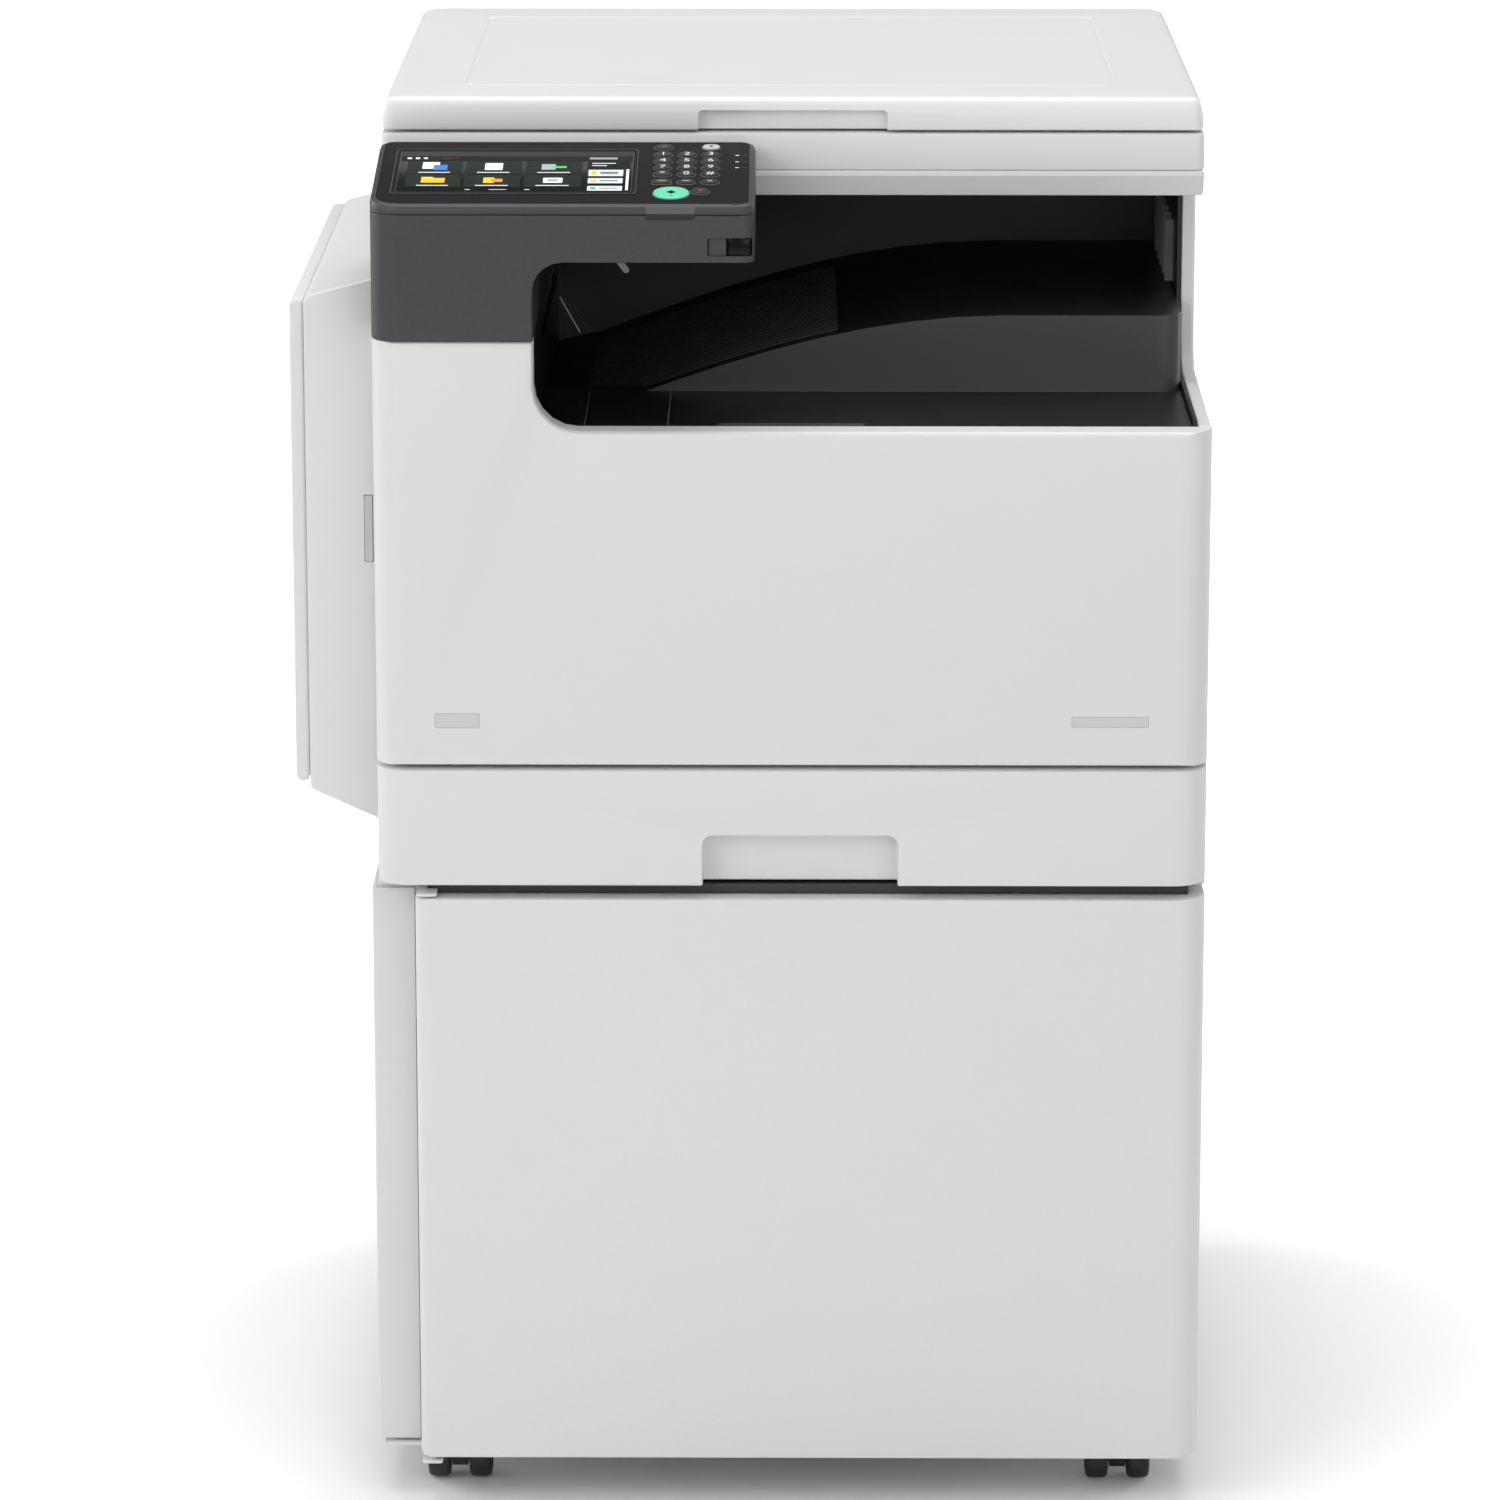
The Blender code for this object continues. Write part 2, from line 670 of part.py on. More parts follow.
def chassis():
    """Steel frame: cassette bay below, engine bay open to the left, tower and rear box."""
    low_block = rectangle(-FRAME_HALF, FRAME_HALF, BODY_LOW, FRAME_HIGH)
    frame = piece("chassis", prism(low_block, [(CHASSIS_FRONT, 0), (FRAME_REAR, 0)], "Y"), sheet_steel())
    tower_right = CAVITY_LEFT - LINER_WALL - GAP
    liner_back = CAVITY_DEPTH + LINER_WALL + GAP
    join(frame, box(-FRAME_HALF, tower_right, SCANNER_FRONT + GAP, FRAME_REAR, FRAME_HIGH - PLATE, FRAME_TOP))
    join(frame, box(-FRAME_HALF, FRAME_HALF, liner_back, FRAME_REAR, FRAME_HIGH - PLATE, FRAME_TOP))
    bay_half = cassette_half() + CASSETTE_SIDE_CLEARANCE
    bay_rear = CHASSIS_FRONT + CASSETTE_LENGTH + CASSETTE_SIDE_CLEARANCE
    cut(frame, box(-bay_half, bay_half, 0, bay_rear, BAY_LOW, BAY_HIGH))
    engine = rectangle(-HALF, FRAME_HALF - ENGINE_BAY_WALL, ENGINE_LOW, ENGINE_HIGH)
    cut(frame, prism(engine, [(ENGINE_FRONT, 0), (ENGINE_REAR, 0)], "Y"))
    tower_rear = CAVITY_DEPTH
    tower_high = FRAME_TOP - PLATE * 2
    cut(frame, box(-HALF, TOWER_BAY_RIGHT, TOWER_BAY_FRONT, tower_rear, ENGINE_HIGH - PLATE, tower_high))
    exit_low, exit_high = exit_slot_heights()
    cut(frame, box(TOWER_BAY_RIGHT - PLATE, CAVITY_LEFT, TOWER_BAY_FRONT, tower_rear, exit_low, exit_high))
    rear_half = FRAME_HALF - REAR_BAY_WALL
    rear_floor = liner_back + PLATE
    cut(frame, box(-rear_half, rear_half, ENGINE_REAR + PLATE, BODY_DEPTH, ENGINE_LOW, ENGINE_HIGH))
    cut(frame, box(-rear_half, rear_half, rear_floor, BODY_DEPTH, FRAME_HIGH + PLATE, tower_high))
    left, right, front, rear = hinge_tab_edges(GAP)
    notch_high = PEDESTAL_TOP + HINGE_TAB_GAP + HINGE_TAB_THICKNESS + GAP
    cut(frame, box(left, right, front, rear, BODY_LOW - SKIN, notch_high))
    toner_x, toner_z = toner_place()
    drum_x, drum_z = drum_place()
    for x, z, radius, depth in (
        (toner_x, toner_z, TONER_RADIUS + RUNNING_GAP, CHASSIS_FRONT - GAP),
        (drum_x, drum_z, DRUM_RADIUS + RUNNING_GAP, CHASSIS_FRONT - GAP),
        (toner_x, toner_z, SHAFT_RADIUS + GAP, ENGINE_REAR - PLATE),
        (drum_x, drum_z, SHAFT_RADIUS + GAP, ENGINE_REAR - PLATE),
    ):
        cut(frame, turned([(depth, radius), (depth + PLATE * 3, radius)], x, z, "Y"))
    for x, z, radius in tower_rollers():
        for start in (TOWER_BAY_FRONT - PLATE / 2, CAVITY_DEPTH - PLATE / 2):
            bore = SHAFT_RADIUS + GAP
            cut(frame, turned([(start, bore), (start + PLATE, bore)], x, z, "Y", 16))
    return frame


def cassette_half():
    return FRAME_HALF - REAR_BAY_WALL - CABINET_WALL


def rear_cover():
    """Moulded back with ventilation slots and the opening for the power inlet."""
    front = FRAME_REAR + GAP
    outer = rectangle(-HALF, HALF, SIDE_LOW, SCANNER_LOW - GAP, 0.002)
    cover = piece("rear_cover", prism(outer, edge_levels(front, BODY_DEPTH, 0, 0.006), "Y"), shell_plastic())
    inner = rectangle(-HALF + SKIN, HALF - SKIN, BODY_LOW + 2 * SKIN, SCANNER_LOW - SKIN)
    cut(cover, prism(inner, [(front - SKIN, 0), (BODY_DEPTH - SKIN, 0)], "Y"))
    rear = BODY_DEPTH + SKIN
    for row in range(VENT_COUNT):
        height = COVER_HIGH + VENT_RISE + row * VENT_PITCH
        cut(cover, box(VENT_LEFT, VENT_RIGHT, front, rear, height, height + VENT_HEIGHT, 0.002, "Y"))
    left, right, low, high = inlet_edges()
    cut(cover, box(left, right, front, rear, low, high, INLET_RADIUS, "Y"))
    return cover


def inlet_edges(clearance=0.0):
    """Left, right, bottom and top of the power inlet's opening, less a clearance."""
    right = HALF - INLET_SIDE
    low = BODY_LOW + INLET_RISE
    return right - INLET_WIDTH + clearance, right - clearance, low + clearance, low + INLET_HEIGHT - clearance


def power_inlet():
    """Appliance inlet with its recess; the pins stand on the recess floor."""
    left, right, low, high = inlet_edges(GAP)
    front = BODY_DEPTH - INLET_DEPTH
    outer = rectangle(left, right, low, high, INLET_RADIUS)
    inlet = piece("power_inlet", prism(outer, [(front, 0), (BODY_DEPTH - GAP, 0)], "Y"), black_plastic())
    cut(inlet, prism(outer, [(front + SKIN, SKIN), (BODY_DEPTH + SKIN, SKIN)], "Y"))
    for across, above in PIN_PLACES:
        x = (left + right) / 2 + across
        z = (low + high) / 2 + above
        sides = (x - PIN_HALF_WIDTH, x + PIN_HALF_WIDTH)
        tops = (z - PIN_HALF_HEIGHT, z + PIN_HALF_HEIGHT)
        join(inlet, box(*sides, front + SKIN / 2, BODY_DEPTH - SKIN, *tops))
    return inlet


def side_outline(front):
    """Right side from the rear, stepping down in front of the column to the cover's shoulder."""
    rear = FRAME_REAR
    low = SIDE_LOW
    return [
        (front, low, 0),
        (rear, low, 0),
        (rear, SCANNER_LOW - GAP, 0),
        (COLUMN_FRONT, SCANNER_LOW - GAP, 0),
        (COLUMN_FRONT, COVER_HIGH + SHOULDER_RISE, COLUMN_RADIUS),
        (front, COVER_HIGH, 0),
    ]


def right_cover():
    shape = prism(side_outline(COVER_THICKNESS + GAP), edge_levels(HALF - SIDE_SKIN, HALF, 0, 0.002), "X")
    return piece("right_cover", shape, shell_plastic())


def left_side_cover():
    """Fixed skin round the opening that the left cover closes."""
    front = COVER_THICKNESS + GAP
    step = SCANNER_FRONT + GAP
    low = SIDE_LOW
    corners = [
        (front, low, 0),
        (FRAME_REAR, low, 0),
        (FRAME_REAR, SCANNER_LOW - GAP, 0),
        (step, SCANNER_LOW - GAP, 0),
        (step, COVER_LEFT_HIGH, 0),
        (front, COVER_LEFT_HIGH, 0),
    ]
    shape = prism(corners, edge_levels(-HALF, -HALF + SIDE_SKIN), "X")
    cover = piece("left_side_cover", shape, shell_plastic())
    rear = LEFT_COVER_REAR - MOUTH_RIM
    mouth = rectangle(step + MOUTH_RIM, rear, LEFT_COVER_LOW + MOUTH_RIM, LEFT_COVER_HIGH - MOUTH_RIM, 0.008)
    cut(cover, prism(mouth, [(-HALF - SKIN, 0), (-HALF + SIDE_SKIN + SKIN, 0)], "X"))
    return cover


def exit_slot_heights():
    low = COVER_HIGH + EXIT_SLOT_RISE
    return low, low + EXIT_SLOT_HEIGHT


def inner_cover():
    """Dark liner of the sheet cavity: floor, back and both side walls."""
    front = COVER_THICKNESS + GAP
    top = SCANNER_LOW - GAP
    left = CAVITY_LEFT - LINER_WALL
    right = CAVITY_RIGHT + LINER_WALL
    shape = box(left, right, front, CAVITY_DEPTH + LINER_WALL, LINER_LOW, top)
    liner = piece("inner_cover", shape, black_plastic())
    cut(liner, box(CAVITY_LEFT, CAVITY_RIGHT, 0, CAVITY_DEPTH, LINER_LOW + LINER_WALL, top + SKIN))
    shoulder = COVER_HIGH + SHOULDER_RISE
    open_side = rectangle(0, COLUMN_FRONT, shoulder, top + SKIN)
    open_side[1] = (COLUMN_FRONT, shoulder, COLUMN_RADIUS)
    cut(liner, prism(open_side, [(CAVITY_RIGHT - SKIN, 0), (HALF, 0)], "X"))
    cut(liner, box(left - SKIN, CAVITY_LEFT + SKIN, 0, SCANNER_FRONT + GAP, COVER_LEFT_HIGH, top + SKIN))
    exit_low, exit_high = exit_slot_heights()
    slot_front = TOWER_BAY_FRONT + PLATE
    cut(liner, box(left - SKIN, CAVITY_LEFT + SKIN, slot_front, CAVITY_DEPTH - PLATE, exit_low, exit_high))
    return liner


def tray_height(x, drop=0.0):
    """Height of the sheet tray at x: steep by the exit, easing to level at the right."""
    along = min(max((x - CAVITY_LEFT - TRAY_START) / TRAY_RUN, 0), 1)
    return LINER_LOW + LINER_WALL + TRAY_FOOT + TRAY_RISE * math.sin(along * math.pi / 2) - drop


def tray_outline(left, right, drop, floor):
    """Outline across the tray between two sides, under the curve by a drop."""
    xs = [right - (right - left) * step / TRAY_STEPS for step in range(TRAY_STEPS + 1)]
    curve = [(x, tray_height(x, drop), 0) for x in xs]
    return [(left, floor, 0), (right, floor, 0)] + curve


def output_tray():
    """Curved sheet tray with the level ledge in front of it."""
    left = CAVITY_LEFT + GAP
    right = CAVITY_RIGHT - GAP
    floor = LINER_LOW + LINER_WALL + GAP
    rear = CAVITY_DEPTH - GAP
    shape = prism(tray_outline(left, right, 0, floor), edge_levels(LEDGE_DEPTH, rear), "Y")
    tray = piece("output_tray", shape, charcoal_plastic())
    corners = rectangle(left - SKIN, right, LEDGE_DEPTH, rear)
    corners[1] = (right, LEDGE_DEPTH, TRAY_CORNER)
    combine(tray, prism(corners, [(floor - SKIN, 0), (SCANNER_LOW, 0)]), "INTERSECT")
    ledge_front = COVER_THICKNESS + 2 * GAP
    ledge_rear = LEDGE_DEPTH + TRAY_CORNER + SKIN
    join(tray, box(left, right, ledge_front, ledge_rear, floor, COVER_HIGH - LEDGE_SUNK))
    thin = left + TRAY_STEEP_WALL
    under = tray_outline(thin, right - SKIN, SKIN, floor - SKIN)
    cut(tray, prism(under, [(ledge_rear + SKIN, 0), (rear - SKIN, 0)], "Y"))
    hollow_front = ledge_front + 2 * FINGER_SLOT_DEPTH
    hollow_rear = LEDGE_DEPTH - SKIN
    cut(tray, box(left + SKIN, right - SKIN, hollow_front, hollow_rear, floor - SKIN, COVER_HIGH - SKIN))
    half_slot = FINGER_SLOT_WIDTH / 2
    slot = rectangle(-half_slot, half_slot, 0, ledge_front + FINGER_SLOT_DEPTH, 0.003)
    cut(tray, prism(slot, [(floor + SKIN, 0), (COVER_HIGH + SKIN, 0)]))
    return tray


# Opening covers


def front_cover():
    """Large moulded cover, stepping up on the left, hinged along its lower edge."""
    corners = [
        (-HALF, COVER_LOW, 0),
        (HALF, COVER_LOW, 0),
        (HALF, COVER_HIGH, 0),
        (CAVITY_LEFT, COVER_HIGH, OPENING_RADIUS),
        (CAVITY_LEFT, COVER_LEFT_HIGH, 0),
        (-HALF, COVER_LEFT_HIGH, 0),
    ]
    shape = prism(corners, edge_levels(0, COVER_THICKNESS, COVER_EDGE, COVER_REAR_EDGE), "Y")
    cover = piece("front_cover", shape, shell_plastic(), (0, COVER_EDGE, COVER_LOW + COVER_EDGE))
    outline = plan(CORNER_RADIUS, CORNER_RADIUS)
    combine(cover, prism(outline, [(COVER_LOW - SKIN, 0), (COVER_LEFT_HIGH + SKIN, 0)]), "INTERSECT")
    side = HALF - CORNER_RADIUS * STEP_SHARE
    step = CAVITY_LEFT - 2 * SKIN
    inside = [
        (-side, COVER_LOW + 2 * SKIN, 0),
        (side, COVER_LOW + 2 * SKIN, 0),
        (side, COVER_HIGH - 2 * SKIN, 0),
        (step, COVER_HIGH - 2 * SKIN, OPENING_RADIUS),
        (step, COVER_LEFT_HIGH - 2 * SKIN, 0),
        (-side, COVER_LEFT_HIGH - 2 * SKIN, 0),
    ]
    return cut(cover, prism(inside, [(COVER_EDGE, 0), (COVER_THICKNESS + SKIN, 0)], "Y"))


def left_hinge():
    inset = LEFT_COVER_HINGE_RADIUS
    return -HALF - GAP - inset, LEFT_COVER_REAR - inset


def left_cover():
    """Bulging cover over the paper path, hinged upright at its rear edge."""
    inner = -HALF - GAP
    outer = -HALF - LEFT_BULGE + BYPASS_THICKNESS + GAP
    corners = [
        (inner, LEFT_COVER_HIGH, 0),
        (outer, BYPASS_HIGH + 0.003, 0.006),
        (outer, BYPASS_LOW - 0.004, 0.006),
        (inner, LEFT_COVER_LOW, 0),
    ]
    levels = edge_levels(LEFT_COVER_FRONT, LEFT_COVER_REAR, 0.003, LEFT_COVER_HINGE_RADIUS)
    hinge_x, hinge_y = left_hinge()
    shape = prism(corners, levels, "Y")
    cover = piece("left_cover", shape, shell_plastic(), (hinge_x, hinge_y, LEFT_COVER_LOW))
    rear = LEFT_COVER_REAR - 2 * LEFT_COVER_HINGE_RADIUS
    front = LEFT_COVER_FRONT + 2 * SKIN
    cut(cover, box(outer + SKIN, -HALF + SKIN, front, rear, BYPASS_LOW + SKIN, BYPASS_HIGH - SKIN))
    left, right, low, high = latch_edges(-GAP)
    cut(cover, box(left, right, 0, front + SKIN, low, high))
    return cover


def latch_edges(clearance=0.0):
    """Left, right, bottom and top of the latch in the left cover's front wall."""
    right = -HALF - LATCH_INSET
    high = LATCH_LOW + LATCH_HEIGHT
    return right - LATCH_WIDTH + clearance, right - clearance, LATCH_LOW + clearance, high - clearance


def left_cover_latch():
    left, right, low, high = latch_edges()
    front = LEFT_COVER_FRONT - LATCH_PROUD
    shape = box(left, right, front, LEFT_COVER_FRONT + LATCH_DEPTH, low, high, 0.001, "Y")
    middle = ((left + right) / 2, LEFT_COVER_FRONT, (low + high) / 2)
    return piece("left_cover_latch", shape, pale_key_plastic(), middle)


def bypass_tray():
    """Sheet tray folded up against the left cover, hinged at its foot."""
    outer = -HALF - LEFT_BULGE
    inner = outer + BYPASS_THICKNESS
    foot = BYPASS_THICKNESS / 2 - LEAST_RADIUS
    corners = [
        (outer, BYPASS_LOW, foot),
        (inner, BYPASS_LOW, foot),
        (inner, BYPASS_HIGH, 0.001),
        (outer, BYPASS_HIGH, 0.004),
    ]
    levels = edge_levels(LEFT_COVER_FRONT + SKIN * 2, LEFT_COVER_REAR - SKIN * 2, 0.002, 0.002)
    hinge = ((outer + inner) / 2, (LEFT_COVER_FRONT + LEFT_COVER_REAR) / 2, BYPASS_LOW + BYPASS_THICKNESS / 2)
    return piece("bypass_tray", prism(corners, levels, "Y"), shell_plastic(), hinge)


# Paper cassette


def cassette_front():
    """Front of the drawer, with the hand hold cut up from its lower edge."""
    levels = edge_levels(CASSETTE_LOW, CASSETTE_HIGH, 0.002, 0.002)
    outline = plan(CORNER_RADIUS, CORNER_RADIUS, rear=COVER_THICKNESS)
    front = piece("cassette_front", prism(outline, levels), shell_plastic())
    left = HANDLE_CENTRE - HANDLE_WIDTH / 2
    high = CASSETTE_LOW + HANDLE_HEIGHT
    hold = [
        (left, CASSETTE_LOW - SKIN, 0),
        (left + HANDLE_WIDTH, CASSETTE_LOW - SKIN, 0),
        (left + HANDLE_WIDTH, high, 0.007),
        (left, high, 0.007),
    ]
    return cut(front, prism(hold, [(-SKIN, 0), (HANDLE_DEPTH, 0)], "Y"))


def cassette():
    """Open box for the paper, which slides out with its front."""
    half = cassette_half()
    low = BAY_LOW + CASSETTE_WALL
    rear = CHASSIS_FRONT + CASSETTE_LENGTH
    front = CHASSIS_FRONT - GAP
    high = CASSETTE_HIGH - CASSETTE_SIDE_CLEARANCE
    drawer = piece("cassette", box(-half, half, front, rear, low, high), charcoal_plastic())
    wall = CASSETTE_WALL
    return cut(drawer, box(-half + wall, half - wall, front + wall * 4, rear - wall, low + wall, high + wall))


def lift_plate():
    """Plate under the paper, hinged at its right edge."""
    right = LIFT_PLATE_WIDTH / 2
    low = BAY_LOW + 2 * CASSETTE_WALL + RUNNING_GAP
    middle = (CHASSIS_FRONT + CASSETTE_LENGTH) / 2
    half_depth = LIFT_PLATE_DEPTH / 2
    high = low + LIFT_PLATE_THICKNESS
    shape = box(-right, right, middle - half_depth, middle + half_depth, low, high)
    return piece("lift_plate", shape, sheet_steel(), (right, middle, (low + high) / 2))


# Scanner and platen cover


def scanner_base():
    """Lower half of the scanner, its front sloping back underneath."""
    front = SCANNER_FRONT
    corners = [
        (front + SCANNER_SLOPE, SCANNER_LOW, 0),
        (SCANNER_DEPTH, SCANNER_LOW, 0),
        (SCANNER_DEPTH, SCANNER_SEAM, 0),
        (front, SCANNER_SEAM, 0),
        (front, SCANNER_SEAM - SCANNER_LIP, 0),
    ]
    base = piece("scanner_base", prism(corners, edge_levels(-HALF, HALF, 0.002, 0.002), "X"), shell_plastic())
    return cut(base, scanner_room(SCANNER_LOW + SKIN, SCANNER_SEAM + SKIN))


def scanner_room(low, high):
    """Hollow that the two halves of the scanner share."""
    wall = SCANNER_SLOPE + SKIN
    return box(-HALF + wall, HALF - wall, SCANNER_FRONT + wall, SCANNER_DEPTH - wall, low, high)


def glass_edges(clearance=0.0):
    """Left, right, front and rear of the platen glass, grown by a clearance."""
    front = SCANNER_FRONT + GLASS_SET_BACK
    half = GLASS_WIDTH / 2
    return -half - clearance, half + clearance, front - clearance, front + GLASS_DEPTH + clearance


def scanner_housing():
    """Upper half of the scanner, a frame round the glass."""
    outline = rectangle(-HALF, HALF, SCANNER_FRONT, SCANNER_DEPTH, 0.006)
    levels = edge_levels(SCANNER_SEAM + GAP, SCANNER_HIGH, 0.001, 0.002)
    housing = piece("scanner_housing", prism(outline, levels), shell_plastic())
    left, right, front, rear = glass_edges(GAP)
    window = box(left, right, front, rear, SCANNER_SEAM, SCANNER_HIGH + SKIN)
    return cut(housing, scanner_room(SCANNER_SEAM - SKIN, SCANNER_HIGH - GLASS_THICKNESS), window)


def platen_glass():
    left, right, front, rear = glass_edges()
    top = SCANNER_HIGH - GAP
    shape = box(left, right, front, rear, top - GLASS_THICKNESS, top)
    return piece("platen_glass", shape, glass())


def scan_carriage():
    """Lamp and mirror carriage, at rest by the left end of the glass."""
    wall = SCANNER_SLOPE + SKIN
    left = -HALF + wall + 2 * SKIN
    low = SCANNER_LOW + SKIN + RUNNING_GAP
    high = SCANNER_HIGH - GLASS_THICKNESS - 2 * SKIN
    front = SCANNER_FRONT + wall + 2 * SKIN
    rear = SCANNER_DEPTH - wall - 2 * SKIN
    shape = box(left, left + CARRIAGE_WIDTH, front, rear, low, high, 0.002)
    middle = left + CARRIAGE_WIDTH / 2
    carriage = piece("scan_carriage", shape, black_plastic(), (middle, (front + rear) / 2, low))
    sides = (middle - CARRIAGE_SLIT / 2, middle + CARRIAGE_SLIT / 2)
    ends = (front + CARRIAGE_SLIT_MARGIN, rear - CARRIAGE_SLIT_MARGIN)
    return cut(carriage, box(*sides, *ends, high - CARRIAGE_SLIT_DEPTH, high + SKIN))


def platen_cover():
    """Lid over the glass, with a lift recess in front and its hinge along the rear."""
    corners = [
        (-HALF, SCANNER_FRONT, 0.008),
        (HALF, SCANNER_FRONT, 0.008),
        (HALF, SCANNER_DEPTH, PLATEN_REAR_RADIUS),
        (-HALF, SCANNER_DEPTH, PLATEN_REAR_RADIUS),
    ]
    top = PLATEN_HIGH
    levels = [
        (PLATEN_LOW, 0.001),
        (PLATEN_LOW + 0.001, 0.0005),
        (top - 0.004, 0.003),
        (top - 0.0012, 0.0045),
        (top, 0.008),
    ]
    hinge_y = SCANNER_DEPTH - PLATEN_HINGE_INSET
    hinge_z = PLATEN_LOW + PLATEN_HINGE_INSET
    cover = piece("platen_cover", prism(corners, levels), shell_plastic(), (0, hinge_y, hinge_z))
    half = LIFT_RECESS_WIDTH / 2
    recess = rectangle(-half, half, PLATEN_LOW - SKIN, PLATEN_LOW + LIFT_RECESS_HEIGHT, 0.003)
    front = SCANNER_FRONT - SKIN
    cut(cover, prism(recess, [(front, 0), (SCANNER_FRONT + LIFT_RECESS_DEPTH, 0)], "Y"))
    left, right, front, rear = glass_edges(PAD_MARGIN + GAP)
    cut(cover, box(left, right, front, rear, PLATEN_LOW - SKIN, pad_top() + GAP))
    chamfer = [
        (hinge_y - SKIN, PLATEN_LOW - SKIN, 0),
        (SCANNER_DEPTH + SKIN, PLATEN_LOW - SKIN, 0),
        (SCANNER_DEPTH + SKIN, hinge_z + SKIN, 0),
    ]
    return cut(cover, prism(chamfer, [(-BODY_WIDTH, 0), (BODY_WIDTH, 0)], "X"))


def pad_top():
    return SCANNER_HIGH + GAP + PAD_THICKNESS


def platen_pad():
    left, right, front, rear = glass_edges(PAD_MARGIN)
    shape = box(left, right, front, rear, SCANNER_HIGH + GAP, pad_top(), 0.004)
    return piece("platen_pad", shape, foam())


# Operation panel


def panel_housing():
    """Dark front of the panel: an arm over the cavity and a leg down the left side."""
    corners = [
        (-HALF, PANEL_LEG_LOW, 0),
        (CAVITY_LEFT, PANEL_LEG_LOW, 0),
        (CAVITY_LEFT, PANEL_ARM_LOW, PANEL_FILLET),
        (PANEL_RIGHT, PANEL_ARM_LOW, 0),
        (PANEL_RIGHT, PANEL_SEAM - GAP, 0),
        (-HALF, PANEL_SEAM - GAP, 0),
    ]
    shape = prism(corners, edge_levels(0, PANEL_DEPTH, 0.0015), "Y")
    housing = piece("panel_housing", shape, charcoal_plastic())
    outline = plan(PANEL_LEFT_RADIUS, PANEL_RIGHT_RADIUS, right=PANEL_RIGHT)
    combine(housing, prism(outline, [(PANEL_LEG_LOW - SKIN, 0), (PANEL_SEAM + SKIN, 0)]), "INTERSECT")
    left, right, low, high = switch_recess()
    wall = HOUSING_WALL
    hollow = [
        (-HALF + 2 * wall, PANEL_LEG_LOW + wall, 0),
        (CAVITY_LEFT - wall, PANEL_LEG_LOW + wall, 0),
        (CAVITY_LEFT - wall, PANEL_ARM_LOW + wall, PANEL_FILLET),
        (left - 2 * wall, PANEL_ARM_LOW + wall, 0),
        (left - 2 * wall, PANEL_SEAM - wall, 0),
        (-HALF + 2 * wall, PANEL_SEAM - wall, 0),
    ]
    cut(housing, prism(hollow, [(2 * wall, 0), (PANEL_DEPTH + wall, 0)], "Y"))
    recess = rectangle(left, right, low, high, 0.001)
    return cut(housing, prism(recess, [(-wall, 0), (SWITCH_RECESS_DEPTH, 0)], "Y"))


def switch_recess():
    """Left, right, bottom and top of the recess that holds the power switch."""
    right = PANEL_RIGHT - SWITCH_MARGIN
    low = PANEL_ARM_LOW + SWITCH_LIFT
    return right - SWITCH_RECESS_WIDTH, right, low, low + SWITCH_RECESS_HEIGHT


def power_switch():
    """Push key that slides into its recess."""
    _, recess_right, low, high = switch_recess()
    right = recess_right - 2 * GAP
    left = right - SWITCH_WIDTH
    rear = SWITCH_RISE + RUNNING_GAP
    front = rear - SWITCH_RISE
    corners = [(left, front, 0.002), (right, front, 0.002), (right, rear, 0), (left, rear, 0)]
    shape = prism(corners, edge_levels(low + GAP, high - GAP, 0.0006, 0.0006))
    return piece("power_switch", shape, black_plastic(), ((left + right) / 2, rear, (low + high) / 2))


def panel_height(y):
    """Height of the panel's tilted face at depth y."""
    return PANEL_SEAM + PANEL_FRONT_HEIGHT + y * math.tan(PANEL_TILT)


def on_panel(x, up, rise):
    """The point at (x, up) on the panel's face, raised along the face's normal."""
    y = up * math.cos(PANEL_TILT) - rise * math.sin(PANEL_TILT)
    z = panel_height(0) + up * math.sin(PANEL_TILT) + rise * math.cos(PANEL_TILT)
    return Vector((x, y, z))


def wedge(corners, inset, low, drop, edge):
    """Shape from a level underside up to the tilted face, with its upper edge rounded."""
    rings = [[Vector((p.x, p.y, low)) for p in rounded(corners, inset)]]
    for inward, sunk in ((0, edge), (edge * 0.3, edge * 0.3), (edge, 0)):
        outline = rounded(corners, inset + inward)
        rings.append([Vector((p.x, p.y, panel_height(p.y) - drop - sunk)) for p in outline])
    return lofted(rings)


def panel_top():
    """Wedge-shaped top of the panel, with a window for the screen and a hole for each key."""
    corners = [
        (-HALF, 0, PANEL_LEFT_RADIUS),
        (PANEL_RIGHT, 0, PANEL_RIGHT_RADIUS),
        (PANEL_RIGHT, PANEL_DEPTH, PANEL_RIGHT_RADIUS),
        (-HALF, PANEL_DEPTH, PANEL_RIGHT_RADIUS),
    ]
    top = piece("panel_top", wedge(corners, 0, PANEL_SEAM, 0, PANEL_EDGE), charcoal_plastic())
    cut(top, wedge(corners, SKIN, PANEL_SEAM - SKIN, PANEL_SKIN, 0.0002))
    cut(top, on_panel_prism(screen_outline(GAP), -PANEL_SKIN * 2, SKIN, 0))
    for key in keys():
        cut(top, on_panel_prism(key_outline(key, KEY_CLEARANCE), -PANEL_SKIN * 2, SKIN, 0))
    return top


def on_panel_prism(corners, low, high, edge):
    """Prism standing square on the panel's face."""
    rings = []
    for rise, inset in edge_levels(low, high, 0, edge):
        rings.append([on_panel(p.x, p.y, rise) for p in rounded(corners, inset)])
    return lofted(rings)


def screen_outline(clearance=0.0):
    left = -HALF + SCREEN_LEFT
    low = SCREEN_UP
    high = low + SCREEN_HEIGHT
    right = left + SCREEN_WIDTH
    edges = (left - clearance, right + clearance, low - clearance, high + clearance)
    return rectangle(*edges, SCREEN_RADIUS)


